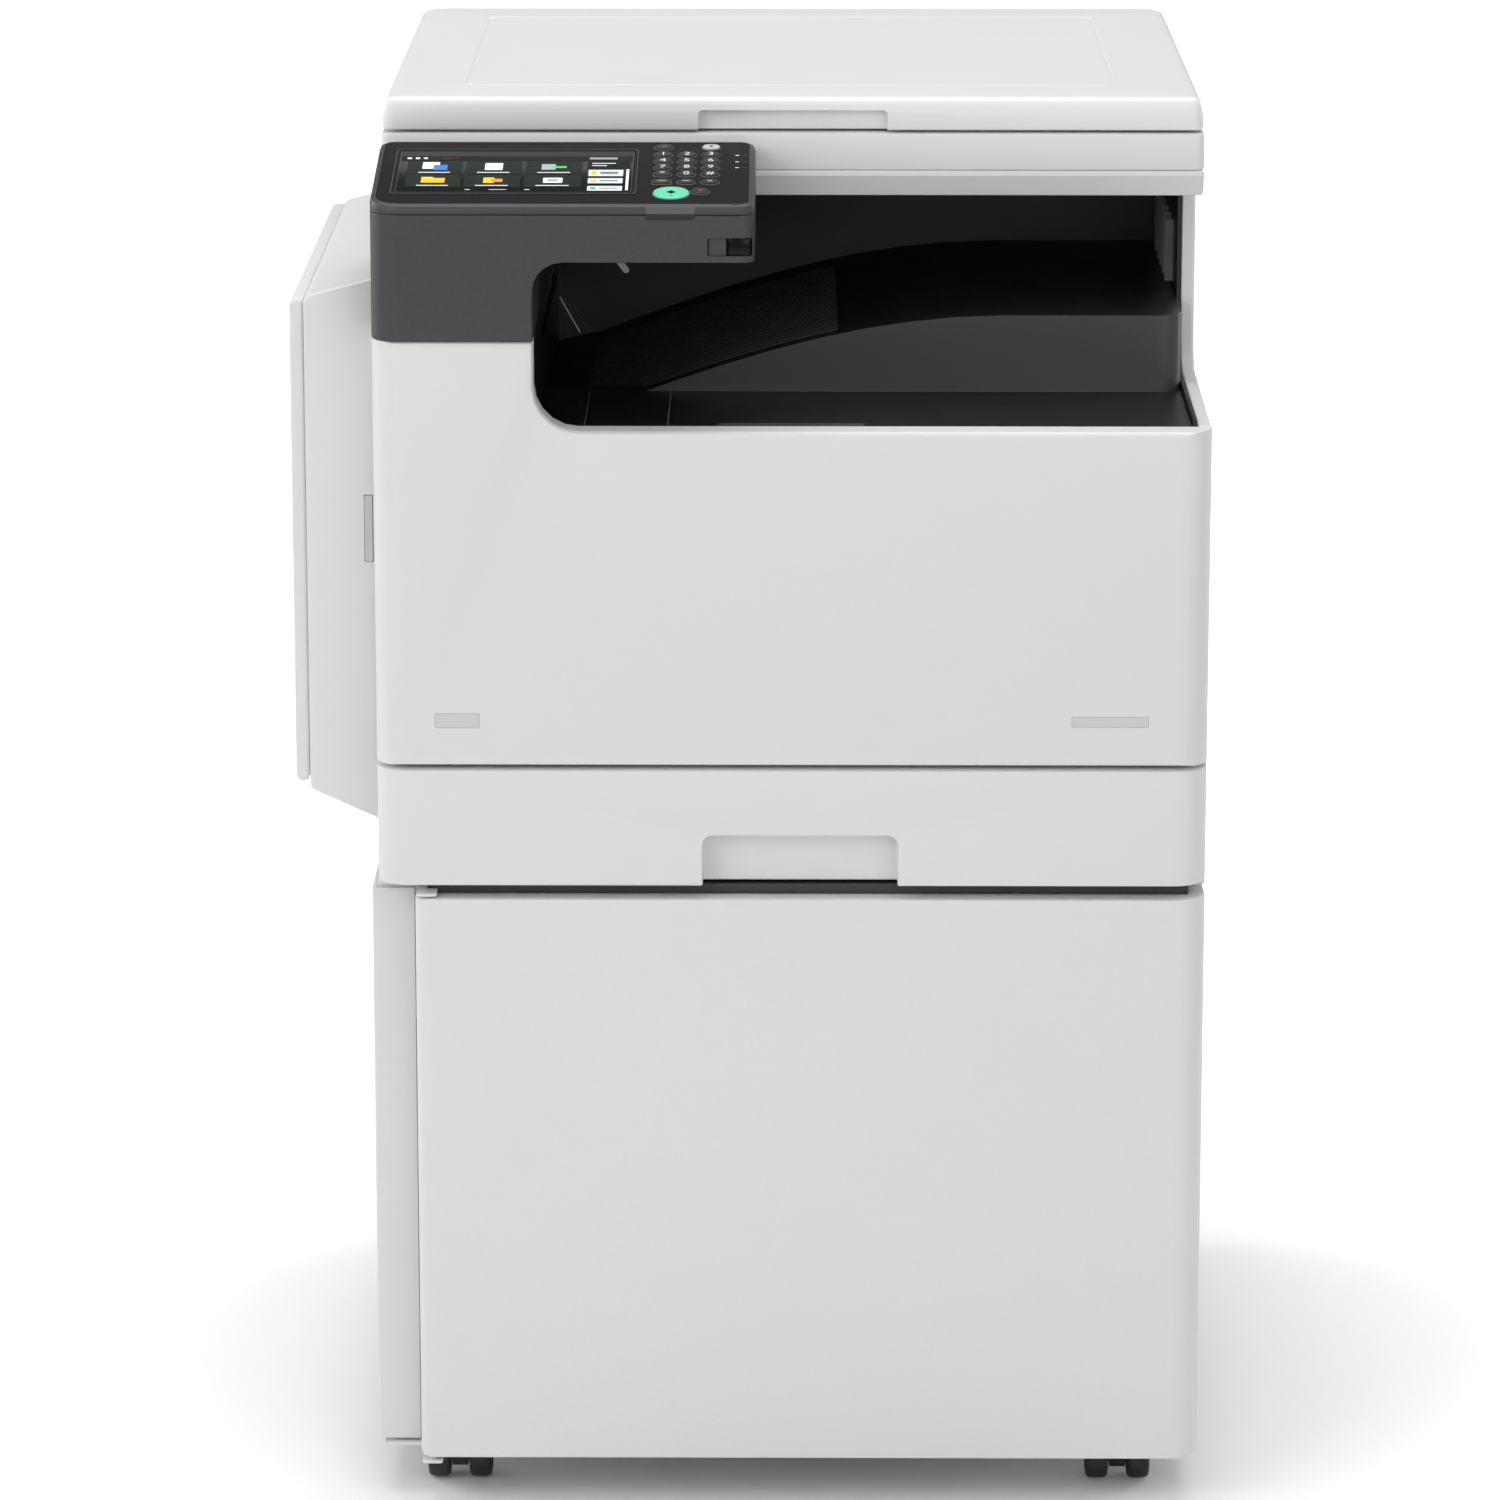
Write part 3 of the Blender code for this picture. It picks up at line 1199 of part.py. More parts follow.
def touch_screen():
    shape = on_panel_prism(screen_outline(), -PANEL_SKIN, SCREEN_PROUD, 0.0004)
    return piece("touch_screen", shape, black_plastic())


def keys():
    """(name, x, up, width, length, corner radius, material) of every key."""
    first_x = PANEL_RIGHT - KEY_FIRST_COLUMN
    last_x = first_x + 2 * KEY_COLUMN_PITCH
    top_row = KEY_FIRST_ROW + TOP_ROW_SHARE * KEY_ROW_PITCH
    low_row = KEY_FIRST_ROW - LOW_ROW_SHARE * KEY_ROW_PITCH
    oval = (KEY_WIDTH, KEY_LENGTH, KEY_LENGTH / OVAL_SHARE, dark_key_plastic())
    square = (KEY_WIDTH, KEY_LENGTH, SQUARE_KEY_RADIUS, dark_key_plastic())
    pale = (KEY_WIDTH, KEY_LENGTH, KEY_LENGTH / OVAL_SHARE, pale_key_plastic())
    start = (START_SIZE, START_SIZE, START_RADIUS, start_key_plastic())
    stop = (KEY_WIDTH, KEY_WIDTH, KEY_WIDTH / OVAL_SHARE, dark_key_plastic())
    made = []
    for number, label in enumerate(("star", "0", "hash", "7", "8", "9", "4", "5", "6", "1", "2", "3")):
        x = first_x + (number % 3) * KEY_COLUMN_PITCH
        up = KEY_FIRST_ROW + (number // 3) * KEY_ROW_PITCH
        made.append((label, x, up, *oval))
    made.append(("home", first_x, top_row, *square))
    made.append(("sleep", last_x, top_row, *pale))
    made.append(("settings", first_x, low_row, *square))
    made.append(("identify", first_x + KEY_COLUMN_PITCH, low_row, *oval))
    made.append(("clear", last_x, low_row, *oval))
    made.append(("start", first_x + START_SIDE, START_UP, *start))
    made.append(("stop", first_x + STOP_SIDE, STOP_UP, *stop))
    return made


def key_outline(key, clearance=0.0):
    _, x, up, width, length, radius, _ = key
    half_width = width / 2 + clearance
    half_length = length / 2 + clearance
    return rectangle(x - half_width, x + half_width, up - half_length, up + half_length, radius)


def panel_key(key):
    """Key that slides down through its hole along the face's normal."""
    name, x, up, *_, material = key
    shape = on_panel_prism(key_outline(key), KEY_PROUD - KEY_DEPTH, KEY_PROUD, 0.0006)
    return piece(f"key_{name}", shape, material, on_panel(x, up, 0))


# Rollers, toner bottle and motor


def toner_place():
    return FRAME_HALF - TONER_SIDE - TONER_RADIUS, (ENGINE_LOW + ENGINE_HIGH) / 2


def drum_place():
    return -HALF + PAPER_PATH + DRUM_RADIUS, (ENGINE_LOW + ENGINE_HIGH) / 2


def tower_rollers():
    """(x, z, radius) of the fuser, pressure and exit rollers."""
    fuser_x = TOWER_BAY_RIGHT - FUSER_RADIUS - 2 * SKIN
    fuser_z = FRAME_HIGH + FUSER_RADIUS
    exit_low, exit_high = exit_slot_heights()
    return [
        (fuser_x, fuser_z, FUSER_RADIUS),
        (fuser_x - 2 * FUSER_RADIUS - NIP_GAP, fuser_z, FUSER_RADIUS),
        (TOWER_BAY_RIGHT - EXIT_RADIUS - SKIN, (exit_low + exit_high) / 2, EXIT_RADIUS),
    ]


def roller(name, x, z, radius, shaft_ends, body_ends, material):
    """Roller about an axis running front to back, with a stub shaft at each end."""
    shaft_front, shaft_rear = shaft_ends
    body_front, body_rear = body_ends
    edge = ROLLER_EDGE
    profile = [
        (shaft_front, SHAFT_RADIUS),
        (body_front, SHAFT_RADIUS),
        (body_front, radius - edge),
        (body_front + edge, radius),
        (body_rear - edge, radius),
        (body_rear, radius - edge),
        (body_rear, SHAFT_RADIUS),
        (shaft_rear, SHAFT_RADIUS),
    ]
    return piece(name, turned(profile, x, z), material, (x, (body_front + body_rear) / 2, z))


def engine_rollers():
    """Drum and toner bottle, which both come out through the front plate."""
    rear = ENGINE_REAR + PLATE / 2
    drum_x, drum_z = drum_place()
    toner_x, toner_z = toner_place()
    shaft = (CHASSIS_FRONT - SHAFT_PROUD, rear)
    drum_ends = (CHASSIS_FRONT, ENGINE_REAR - ROLLER_END)
    bottle_ends = (CHASSIS_FRONT - BOTTLE_PROUD, ENGINE_REAR - ROLLER_END)
    roller("drum", drum_x, drum_z, DRUM_RADIUS, shaft, drum_ends, photoconductor())
    roller("toner_bottle", toner_x, toner_z, TONER_RADIUS, shaft, bottle_ends, black_plastic())


def tower_roller_set():
    """Fuser, pressure and exit rollers, carried between the tower's end plates."""
    names = ("fuser_roller", "pressure_roller", "exit_roller")
    materials = (black_plastic(), roller_rubber(), roller_rubber())
    shaft_ends = (TOWER_BAY_FRONT - PLATE / 2 + GAP, CAVITY_DEPTH + PLATE / 2 - GAP)
    body_ends = (TOWER_BAY_FRONT + RUNNING_GAP, CAVITY_DEPTH - RUNNING_GAP)
    for name, (x, z, radius), material in zip(names, tower_rollers(), materials):
        roller(name, x, z, radius, shaft_ends, body_ends, material)


def main_motor():
    """Drive motor on the rear plate."""
    front = ENGINE_REAR + PLATE + GAP
    rear = front + MOTOR_DEPTH
    height = (ENGINE_LOW + ENGINE_HIGH) / 2
    profile = [(front, MOTOR_RADIUS), (rear - MOTOR_EDGE, MOTOR_RADIUS), (rear, MOTOR_RADIUS - MOTOR_EDGE)]
    shape = turned(profile, MOTOR_SIDE, height)
    return piece("main_motor", shape, sheet_steel(), (MOTOR_SIDE, front, height))


def build():
    clear_scene()
    pedestal_cabinet()
    pedestal_side_cover()
    pedestal_door()
    for place in caster_places():
        caster_housing(*place)
        caster_wheels(*place)
    chassis()
    rear_cover()
    power_inlet()
    right_cover()
    left_side_cover()
    inner_cover()
    output_tray()
    front_cover()
    left_cover()
    left_cover_latch()
    bypass_tray()
    cassette_front()
    cassette()
    lift_plate()
    scanner_base()
    scanner_housing()
    platen_glass()
    scan_carriage()
    platen_cover()
    platen_pad()
    panel_housing()
    panel_top()
    touch_screen()
    power_switch()
    for key in keys():
        panel_key(key)
    engine_rollers()
    tower_roller_set()
    main_motor()


build()
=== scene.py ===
"""Looks of an office photocopier on its pedestal, laid out as a Blender add-on and run as a script."""

import json
import math

import bmesh
import bpy
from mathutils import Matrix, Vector


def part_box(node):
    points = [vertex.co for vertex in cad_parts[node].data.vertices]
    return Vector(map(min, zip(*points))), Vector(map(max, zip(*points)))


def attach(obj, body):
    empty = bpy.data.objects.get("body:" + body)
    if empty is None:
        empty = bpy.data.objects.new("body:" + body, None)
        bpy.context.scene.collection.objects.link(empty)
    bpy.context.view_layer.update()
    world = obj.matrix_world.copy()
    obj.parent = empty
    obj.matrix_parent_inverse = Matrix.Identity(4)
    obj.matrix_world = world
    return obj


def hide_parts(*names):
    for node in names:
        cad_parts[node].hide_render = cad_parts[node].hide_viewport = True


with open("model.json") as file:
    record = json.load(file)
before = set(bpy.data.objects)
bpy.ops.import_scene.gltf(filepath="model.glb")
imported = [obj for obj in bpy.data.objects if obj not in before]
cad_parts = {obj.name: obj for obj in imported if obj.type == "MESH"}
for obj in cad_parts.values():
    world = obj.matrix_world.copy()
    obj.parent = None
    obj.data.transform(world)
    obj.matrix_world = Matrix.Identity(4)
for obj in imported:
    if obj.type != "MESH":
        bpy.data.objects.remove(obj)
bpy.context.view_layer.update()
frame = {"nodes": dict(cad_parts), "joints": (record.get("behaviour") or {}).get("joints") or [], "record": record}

bl_info = {
    "name": "Office photocopier",
    "version": (1, 0, 0),
    "blender": (4, 5, 0),
    "location": "3D View > Sidebar > Copier",
    "description": "Covers, panel, sheet cavity and finishes of an office photocopier",
    "category": "Object",
}

MM = 0.001
SOFT_ANGLE = math.radians(28)
EDGE_ANGLE = math.radians(50)
FLAT_ANGLE = math.radians(0.4)
WELD = 0.00001
ARC_STEPS = 8
LEAST_RADIUS = 0.00005
GRAIN_SHOWN = 1.6


# Colours and materials


def linear(code):
    """Linear red, green, blue and alpha of an sRGB hex code."""
    shares = [int(code[place : place + 2], 16) / 255 for place in (1, 3, 5)]
    return (*[s / 12.92 if s <= 0.04045 else ((s + 0.055) / 1.055) ** 2.4 for s in shares], 1.0)


def add(tree, kind, inputs=None, **settings):
    """Node of this kind with its settings; an input is a constant, or a socket to link from."""
    node = tree.nodes.new(kind)
    for name, value in settings.items():
        setattr(node, name, value)
    for key, value in (inputs or {}).items():
        if isinstance(value, bpy.types.NodeSocket):
            tree.links.new(value, node.inputs[key])
        else:
            node.inputs[key].default_value = value
    return node


def tune(node, values):
    """Sets inputs of a node by name."""
    for name, value in values.items():
        node.inputs[name].default_value = value


def start_material(name):
    """Empty material, its Principled shader and its object coordinates."""
    material = bpy.data.materials.new(name)
    material.use_nodes = True
    tree = material.node_tree
    shader = tree.nodes["Principled BSDF"]
    place = add(tree, "ShaderNodeTexCoord").outputs["Object"]
    return material, tree, shader, place


def blended(tree, share, low, high, socket):
    """Feeds a colour socket with a mix of two colours."""
    mix = add(tree, "ShaderNodeMix", {"Factor": share, 6: low, 7: high}, data_type="RGBA")
    tree.links.new(mix.outputs[2], socket)


def rubbed(tree, place, shader, size, low, high):
    """Roughness that drifts between two values over patches of this size in mm."""
    smear = add(tree, "ShaderNodeTexNoise", {"Vector": place, "Scale": 1 / (size * MM), "Detail": 4.0})
    rub = add(tree, "ShaderNodeMapRange", {"Value": smear.outputs["Fac"], "To Min": low, "To Max": high})
    tree.links.new(rub.outputs["Result"], shader.inputs["Roughness"])


def moulded(name, colour, roughness, grain, depth, fade):
    """Injection-moulded plastic: an eroded grain of this size in mm, over slow shifts of tone."""
    material, tree, shader, place = start_material(name)
    slow = add(tree, "ShaderNodeTexNoise", {"Vector": place, "Scale": 1 / (140 * MM), "Detail": 3.0})
    fine = add(tree, "ShaderNodeTexNoise", {"Vector": place, "Scale": 1 / (grain * MM), "Detail": 2.0})
    specks = {"Value": fine.outputs["Fac"], "From Min": 0.35, "From Max": 0.65}
    speck = add(tree, "ShaderNodeMapRange", specks)
    both = {0: speck.outputs["Result"], 1: 0.6, 2: slow.outputs["Fac"]}
    total = add(tree, "ShaderNodeMath", both, operation="MULTIPLY_ADD", use_clamp=True)
    darker = (*[part * fade for part in colour[:3]], 1.0)
    blended(tree, total.outputs[0], (*colour[:3], 1.0), darker, shader.inputs["Base Color"])
    rubbed(tree, place, shader, 35, roughness - 0.05, roughness + 0.06)
    relief = {"Height": fine.outputs["Fac"], "Distance": depth * MM, "Strength": 0.6}
    bump = add(tree, "ShaderNodeBump", relief)
    tree.links.new(bump.outputs["Normal"], shader.inputs["Normal"])
    shader.inputs["IOR"].default_value = 1.53
    return material


# Mouldings: name, hex code or setting of the colour, roughness, grain in mm, its depth in mm, darkest share.
MOULDINGS = {
    # ABS covers: an even, matt, slightly warm white with a fine eroded grain that softens highlights.
    "cover": ("Matt white ABS", "cover", 0.46, GRAIN_SHOWN, 0.02, 0.975),
    # The lid is moulded brighter and a little smoother, so its top reads lighter than the covers.
    "lid": ("Satin white ABS", "lid", 0.38, GRAIN_SHOWN, 0.012, 0.98),
    # Powder coat on steel: the faint orange peel is coarser than the plastic's grain.
    "cabinet": ("Powder-coated steel", "cabinet", 0.42, 3.2, 0.015, 0.975),
    # Charcoal ABS of the panel's front: a dense matt grain with tiny lighter specks.
    "charcoal": ("Charcoal grained ABS", "housing", 0.5, GRAIN_SHOWN, 0.05, 0.8),
    # The panel's face is darker and smoother than its front, and hardly reflects the room.
    "panel": ("Charcoal satin ABS", "panel", 0.6, GRAIN_SHOWN, 0.02, 0.88),
    # Liner: near-black high-impact polystyrene, a little glossy along its edges. The tray's upward faces take it
    # too, as painted shade.
    "black": ("Black polystyrene", "#161618", 0.36, 2.0, 0.03, 0.8),
    # The tray is a shade lighter, rubbed satin by sliding sheets.
    "tray": ("Dark grey polystyrene", "#3f3f42", 0.44, 2.0, 0.03, 0.85),
    # Louvres, sensor flag and ledge seams: plain mid-grey ABS with the covers' grain.
    "grey": ("Mid-grey ABS", "#8f9092", 0.42, GRAIN_SHOWN, 0.02, 0.93),
    # Keys: hard silicone caps, softly matt.
    "key": ("Dark silicone rubber", "keys", 0.48, 1.2, 0.01, 0.9),
    # The energy-save key and small levers: the same silicone, undyed.
    "pale": ("Pale silicone rubber", "#c9cac8", 0.45, 1.2, 0.01, 0.95),
    # Start key: translucent mint resin, lit a little from within.
    "mint": ("Mint translucent resin", "start_key", 0.3, 1.2, 0.005, 0.95),
    # Glass-filled nylon: black, dull and slightly mottled.
    "nylon": ("Black glass-filled nylon", "#2c2c2e", 0.45, 1.8, 0.04, 0.8),
    # Polyurethane tyres: softer and duller than the housings, dusty on the tread.
    "tyre": ("Black polyurethane", "#262627", 0.55, 1.6, 0.03, 0.75),
    # Backing pad: white film over foam, flat and even.
    "pad": ("White polyester film", "#f1f1ef", 0.6, 4.0, 0.05, 0.98),
    # Ground silicone rubber: brick red and matt.
    "silicone": ("Ground silicone rubber", "#8c4a36", 0.55, 1.4, 0.02, 0.88),
}
MOULDING_INPUTS = {
    "panel": {"Specular IOR Level": 0.12},
    "mint": {"Emission Color": linear("#5fe3b8"), "Emission Strength": 0.06},
}


def moulding(key):
    """The moulded material of this key, in its fixed or chosen colour."""
    name, colour, *surface = MOULDINGS[key]
    if not colour.startswith("#"):
        colour = getattr(bpy.context.scene.copier_colours, colour)
    else:
        colour = linear(colour)
    material = moulded(name, colour, *surface)
    tune(material.node_tree.nodes["Principled BSDF"], MOULDING_INPUTS.get(key, {}))
    return material


def printed_ink(name, code, glow=0.0):
    """Printed ink, or a lit patch of the display: even, with the faintest mottle in its gloss."""
    material, tree, shader, place = start_material(name)
    rubbed(tree, place, shader, 2, 0.42, 0.5)
    colour = linear(code)
    light = {"Emission Color": colour, "Emission Strength": glow}
    tune(shader, {"Base Color": colour, "Specular IOR Level": 0.12, **light})
    return material


# Inks, labels and lenses: name and hex code, and the glow that keeps white legends legible.
PRINTS = {
    "white_ink": ("White printing ink", "#e8e8e6", 0.1),
    "grey_ink": ("Grey printing ink", "#5d5f61"),
    "edge_ink": ("Pale grey printing ink", "#b4b6b5"),
    "olive_ink": ("Olive printing ink", "#a89a45"),
    "red_ink": ("Red printing ink", "#a8443a"),
    "label": ("Blank polyester label", "#cfd1cf"),
    "lens": ("Smoked indicator lens", "#626366"),
    "lens_foot": ("Smoked indicator foot", "#38383b"),
    # The rim colour is a painted highlight: the light caught by the chamfer below each key.
    "rim": ("Worn charcoal rim", "#5f6062"),
}


def touch_film():
    # Resistive touch film over the display: black and hard, with an antireflective coat.
    material, tree, shader, place = start_material("Touch film over glass")
    rubbed(tree, place, shader, 30, 0.1, 0.2)
    tune(shader, {"Base Color": linear("#0c0d0e"), "Specular IOR Level": 0.2})
    return material


def float_glass():
    # Float glass: clear with a green cast, nearly free of smears.
    material, tree, shader, place = start_material("Float glass")
    rubbed(tree, place, shader, 60, 0.02, 0.06)
    tune(shader, {"Base Color": linear("#dfeae6"), "Transmission Weight": 0.9, "IOR": 1.52})
    return material


def metal(name, light, dark, roughness, size):
    """Bare or plated metal whose tone and gloss vary over grains of this size in mm."""
    material, tree, shader, place = start_material(name)
    spangle = add(tree, "ShaderNodeTexVoronoi", {"Vector": place, "Scale": 1 / (size * MM)})
    share = spangle.outputs["Distance"]
    blended(tree, share, linear(light), linear(dark), shader.inputs["Base Color"])
    drawn = add(tree, "ShaderNodeMapping", {"Vector": place, "Scale": (1, 1, 12)}).outputs["Vector"]
    rubbed(tree, drawn, shader, 3, roughness - 0.08, roughness + 0.1)
    shader.inputs["Metallic"].default_value = 1.0
    return material


def zinc_plated_steel():
    # Zinc plate over sheet steel: grey, with spangles and rolling marks.
    return metal("Zinc-plated sheet steel", "#b9bcbe", "#a5a8ab", 0.34, 18)


def bright_steel():
    # Turned steel: bright, with fine rings.
    return metal("Turned bright steel", "#cfd2d4", "#c2c5c8", 0.2, 4)


def drum_coating():
    # Organic photoconductor: a deep glossy green-blue film over aluminium.
    material, tree, shader, place = start_material("Photoconductor film")
    sheen = add(tree, "ShaderNodeTexNoise", {"Vector": place, "Scale": 1 / (50 * MM)})
    socket = shader.inputs["Base Color"]
    blended(tree, sheen.outputs["Fac"], linear("#2f6b63"), linear("#27595a"), socket)
    tune(shader, {"Roughness": 0.12, "Coat Weight": 0.5})
    return material


MAKERS = {
    "screen": touch_film,
    "glass": float_glass,
    "zinc": zinc_plated_steel,
    "steel": bright_steel,
    "drum": drum_coating,
}
MADE = {}


def finish_of(key):
    """The material of this key, made once."""
    if key not in MADE:
        if key in MOULDINGS:
            MADE[key] = moulding(key)
        elif key in PRINTS:
            MADE[key] = printed_ink(*PRINTS[key])
        else:
            MADE[key] = MAKERS[key]()
    return MADE[key]


def lit(code):
    """The material of the display's patches in this colour."""
    return printed_ink(f"Display colour {code[1:]}", code, DISPLAY_GLOW)


# Shapes


def rounded(corners, inset=0.0):
    """Points of a counter-clockwise outline of (u, v, radius) corners, moved inwards by inset."""
    points = []
    for index, (u, v, radius) in enumerate(corners):
        here = Vector((u, v))
        before = Vector(corners[index - 1][:2])
        after = Vector(corners[(index + 1) % len(corners)][:2])
        into = (here - before).normalized()
        away = (after - here).normalized()
        normal = Vector((-into.y, into.x))
        next_normal = Vector((-away.y, away.x))
        middle = (normal + next_normal) / (1 + normal.dot(next_normal))
        corner = here + middle * inset
        if radius == 0:
            points.append(corner)
            continue
        turn = math.atan2(into.x * away.y - into.y * away.x, into.dot(away))
        side = math.copysign(1, turn)
        bend = max(radius - side * inset, LEAST_RADIUS)
        centre = corner + middle * bend * side
        spoke = -normal * bend * side
        for step in range(ARC_STEPS + 1):
            angle = turn * step / ARC_STEPS
            cosine = math.cos(angle)
            sine = math.sin(angle)
            across = spoke.x * cosine - spoke.y * sine
            along = spoke.x * sine + spoke.y * cosine
            points.append(centre + Vector((across, along)))
    return points


def rectangle(u_low, u_high, v_low, v_high, radius=0.0):
    """Counter-clockwise corners of a rectangle."""
    corners = ((u_low, v_low), (u_high, v_low), (u_high, v_high), (u_low, v_high))
    return [(u, v, radius) for u, v in corners]


def in_space(u, v, height, axis):
    """The point at (u, v) across the axis, at a height along it."""
    if axis == "X":
        return Vector((height, u, v))
    if axis == "Y":
        return Vector((u, height, v))
    return Vector((u, v, height))


def bridged(shape, pairs):
    """Faces between each pair of loops of equally many vertices."""
    faces = []
    for lower, upper in pairs:
        for index, vertex in enumerate(lower):
            after = (index + 1) % len(lower)
            faces.append(shape.faces.new((vertex, lower[after], upper[after], upper[index])))
    return faces


def loft(shape, rings):
    """Adds a closed body through rings of equally many points, facing outwards."""
    loops = [[shape.verts.new(point) for point in ring] for ring in rings]
    faces = bridged(shape, zip(loops, loops[1:]))
    faces.append(shape.faces.new(reversed(loops[0])))
    faces.append(shape.faces.new(loops[-1]))
    bmesh.ops.recalc_face_normals(shape, faces=faces)
    return shape


def closed_band(shape, rows):
    """Adds a ring-shaped body whose section runs through four rows of points."""
    loops = [[shape.verts.new(point) for point in row] for row in rows]
    faces = bridged(shape, zip(loops, loops[1:] + loops[:1]))
    bmesh.ops.recalc_face_normals(shape, faces=faces)
    return shape


def levels(start, end, edge=0.0, both=False):
    """(height, inset) pairs of a prism whose end edge, or both end edges, are rounded."""
    quarter = [math.pi / 2 * step / 3 for step in range(4)]
    rise = [(edge * (1 - math.cos(a)), edge * (1 - math.sin(a))) for a in quarter]
    sign = math.copysign(1, end - start)
    first = [(start + sign * along, inset) for along, inset in rise] if both and edge else [(start, 0.0)]
    last = [(end - sign * along, inset) for along, inset in reversed(rise)] if edge else [(end, 0.0)]
    return first + last


def prism(shape, corners, steps, axis="Z"):
    """Adds an outline carried along an axis through (height, inset) steps."""
    return loft(shape, [[in_space(p.x, p.y, h, axis) for p in rounded(corners, i)] for h, i in steps])


def turned(shape, profile, u, v, axis="Y", count=40):
    """Adds a round body about the axis through (u, v), from (height, radius) pairs."""
    rings = []
    for height, radius in profile:
        angles = [2 * math.pi * step / count for step in range(count)]
        spots = [(u + radius * math.cos(a), v + radius * math.sin(a)) for a in angles]
        rings.append([in_space(*spot, height, axis) for spot in spots])
    return loft(shape, rings)


def as_mesh(name, shape):
    """The shape as a mesh; the shape is freed."""
    mesh = bpy.data.meshes.new(name)
    shape.to_mesh(mesh)
    shape.free()
    return mesh


def placed(name, data):
    """New object with this data, in the scene."""
    made = bpy.data.objects.new(name, data)
    bpy.context.scene.collection.objects.link(made)
    return made


def show(name, shape, finish, body, smooth=SOFT_ANGLE):
    """Makes the shape a named piece at the origin that rides on a body."""
    mesh = as_mesh(name, shape)
    mesh.shade_smooth()
    mesh.set_sharp_from_angle(angle=smooth)
    mesh.materials.append(finish_of(finish) if isinstance(finish, str) else finish)
    made = placed(name, mesh)
    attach(made, body)
    return made


def body_named(node):
    """The body that a CAD node rides on, and the node's material slot."""
    record = frame["record"]
    bodies = record["behaviour"]["bodies"]
    body = next(name for name, nodes in bodies.items() if node in nodes)
    slot = next(part["material_slot"] for part in record["subparts"] if part["node"] == node)
    return body, slot


def soften(node, finish, width):
    """Copy of a CAD node with rounded edges, which stands for that node."""
    shape = bmesh.new()
    shape.from_mesh(frame["nodes"][node].data)
    bmesh.ops.remove_doubles(shape, verts=shape.verts, dist=WELD)
    bmesh.ops.dissolve_limit(shape, angle_limit=FLAT_ANGLE, verts=shape.verts, edges=shape.edges)
    body, slot = body_named(node)
    made = show(f"{node}_shell", shape, finish, body)
    bevel = made.modifiers.new("Moulded edges", "BEVEL")
    bevel.width = width
    bevel.segments = 3
    bevel.limit_method = "ANGLE"
    bevel.angle_limit = EDGE_ANGLE
    bevel.harden_normals = True
    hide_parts(node)
    return made


# Settings


def colour_property(name, description, code):
    """A colour that the user can change."""
    return bpy.props.FloatVectorProperty(
        name=name, description=description, default=linear(code), size=4, min=0, max=1, subtype="COLOR"
    )


def length_property(name, description, size):
    """A length in metres that the user can change."""
    return bpy.props.FloatProperty(
        name=name, description=description, default=size, min=0, unit="LENGTH", precision=5
    )


class CopierColours(bpy.types.PropertyGroup):
    """Colours of the mouldings, as linear red, green and blue."""

    cover: colour_property("Covers", "White covers of the body", "#e2e2e0")
    lid: colour_property("Platen cover", "Lid over the glass", "#ebebe9")
    cabinet: colour_property("Cabinet", "Powder coat of the pedestal", "#e1e1df")
    housing: colour_property("Panel front", "Charcoal front of the operation panel", "#404043")
    panel: colour_property("Panel face", "Dark face of the operation panel", "#1b1b1e")
    keys: colour_property("Keys", "Caps of the number keys", "#202023")
    start_key: colour_property("Start key", "Translucent cap of the start key", "#70e2ba")


class CopierSizes(bpy.types.PropertyGroup):
    """Sizes of the details that the covers carry."""

    cover_edge: length_property("Cover edge", "Radius along the covers' edges", 0.0014)
    fine_edge: length_property("Fine edge", "Radius along the edges of small pieces", 0.0005)
    groove_width: length_property("Lid groove", "Width of the groove round the lid's field", 0.0022)
    groove_depth: length_property("Lid groove depth", "Depth of that groove", 0.0007)
    rib_width: length_property("Tray rib", "Width of the ribs that carry the sheets", 0.0012)
    rib_pitch: length_property("Tray rib spacing", "Distance between the tray's ribs", 0.0100)
    louvre_width: length_property("Louvre", "Width of the slats in the cavity", 0.0100)
    louvre_pitch: length_property("Louvre spacing", "Distance between those slats", 0.0320)
    screw_radius: length_property("Screw head", "Radius of the rear screws' heads", 0.0036)
    legend_height: length_property("Legend", "Height of the digits on the keys", 0.0064)
    rib_count: bpy.props.IntProperty(name="Tray ribs", description="Ribs on the tray", default=27, min=2)
    louvre_count: bpy.props.IntProperty(name="Louvres", description="Slats", default=5, min=2)


def sizes():
    return bpy.context.scene.copier_sizes


# Covers

SOFT_COVERS = (
    ("pedestal_cabinet", "cabinet", 0.5),
    ("pedestal_side_cover", "cabinet", 0.5),
    ("pedestal_door", "cabinet", 1.0),
    ("rear_cover", "cover", 1.0),
    ("right_cover", "cover", 1.0),
    ("left_side_cover", "cover", 1.0),
    ("front_cover", "cover", 1.0),
    ("left_cover", "cover", 1.0),
    ("bypass_tray", "cover", 1.0),
    ("left_cover_latch", "pale", 0.3),
    ("cassette_front", "cover", 1.0),
    ("scanner_base", "cover", 0.6),
    ("scanner_housing", "cover", 0.8),
)


LABEL_LEFT = (0.0408, 0.0712, 0.0264, 0.0368)
LABEL_RIGHT = (0.4724, 0.5248, 0.0275, 0.0350)
LABEL_RADIUS = 0.0012
LABEL_LINE = 0.0005
LABEL_PROUD = 0.00005
LABEL_SUNK = 0.0004
LABEL_SECTION = (
    (LABEL_SUNK, 0),
    (-LABEL_PROUD, 0),
    (-LABEL_PROUD, LABEL_LINE),
    (LABEL_SUNK, LABEL_LINE),
)


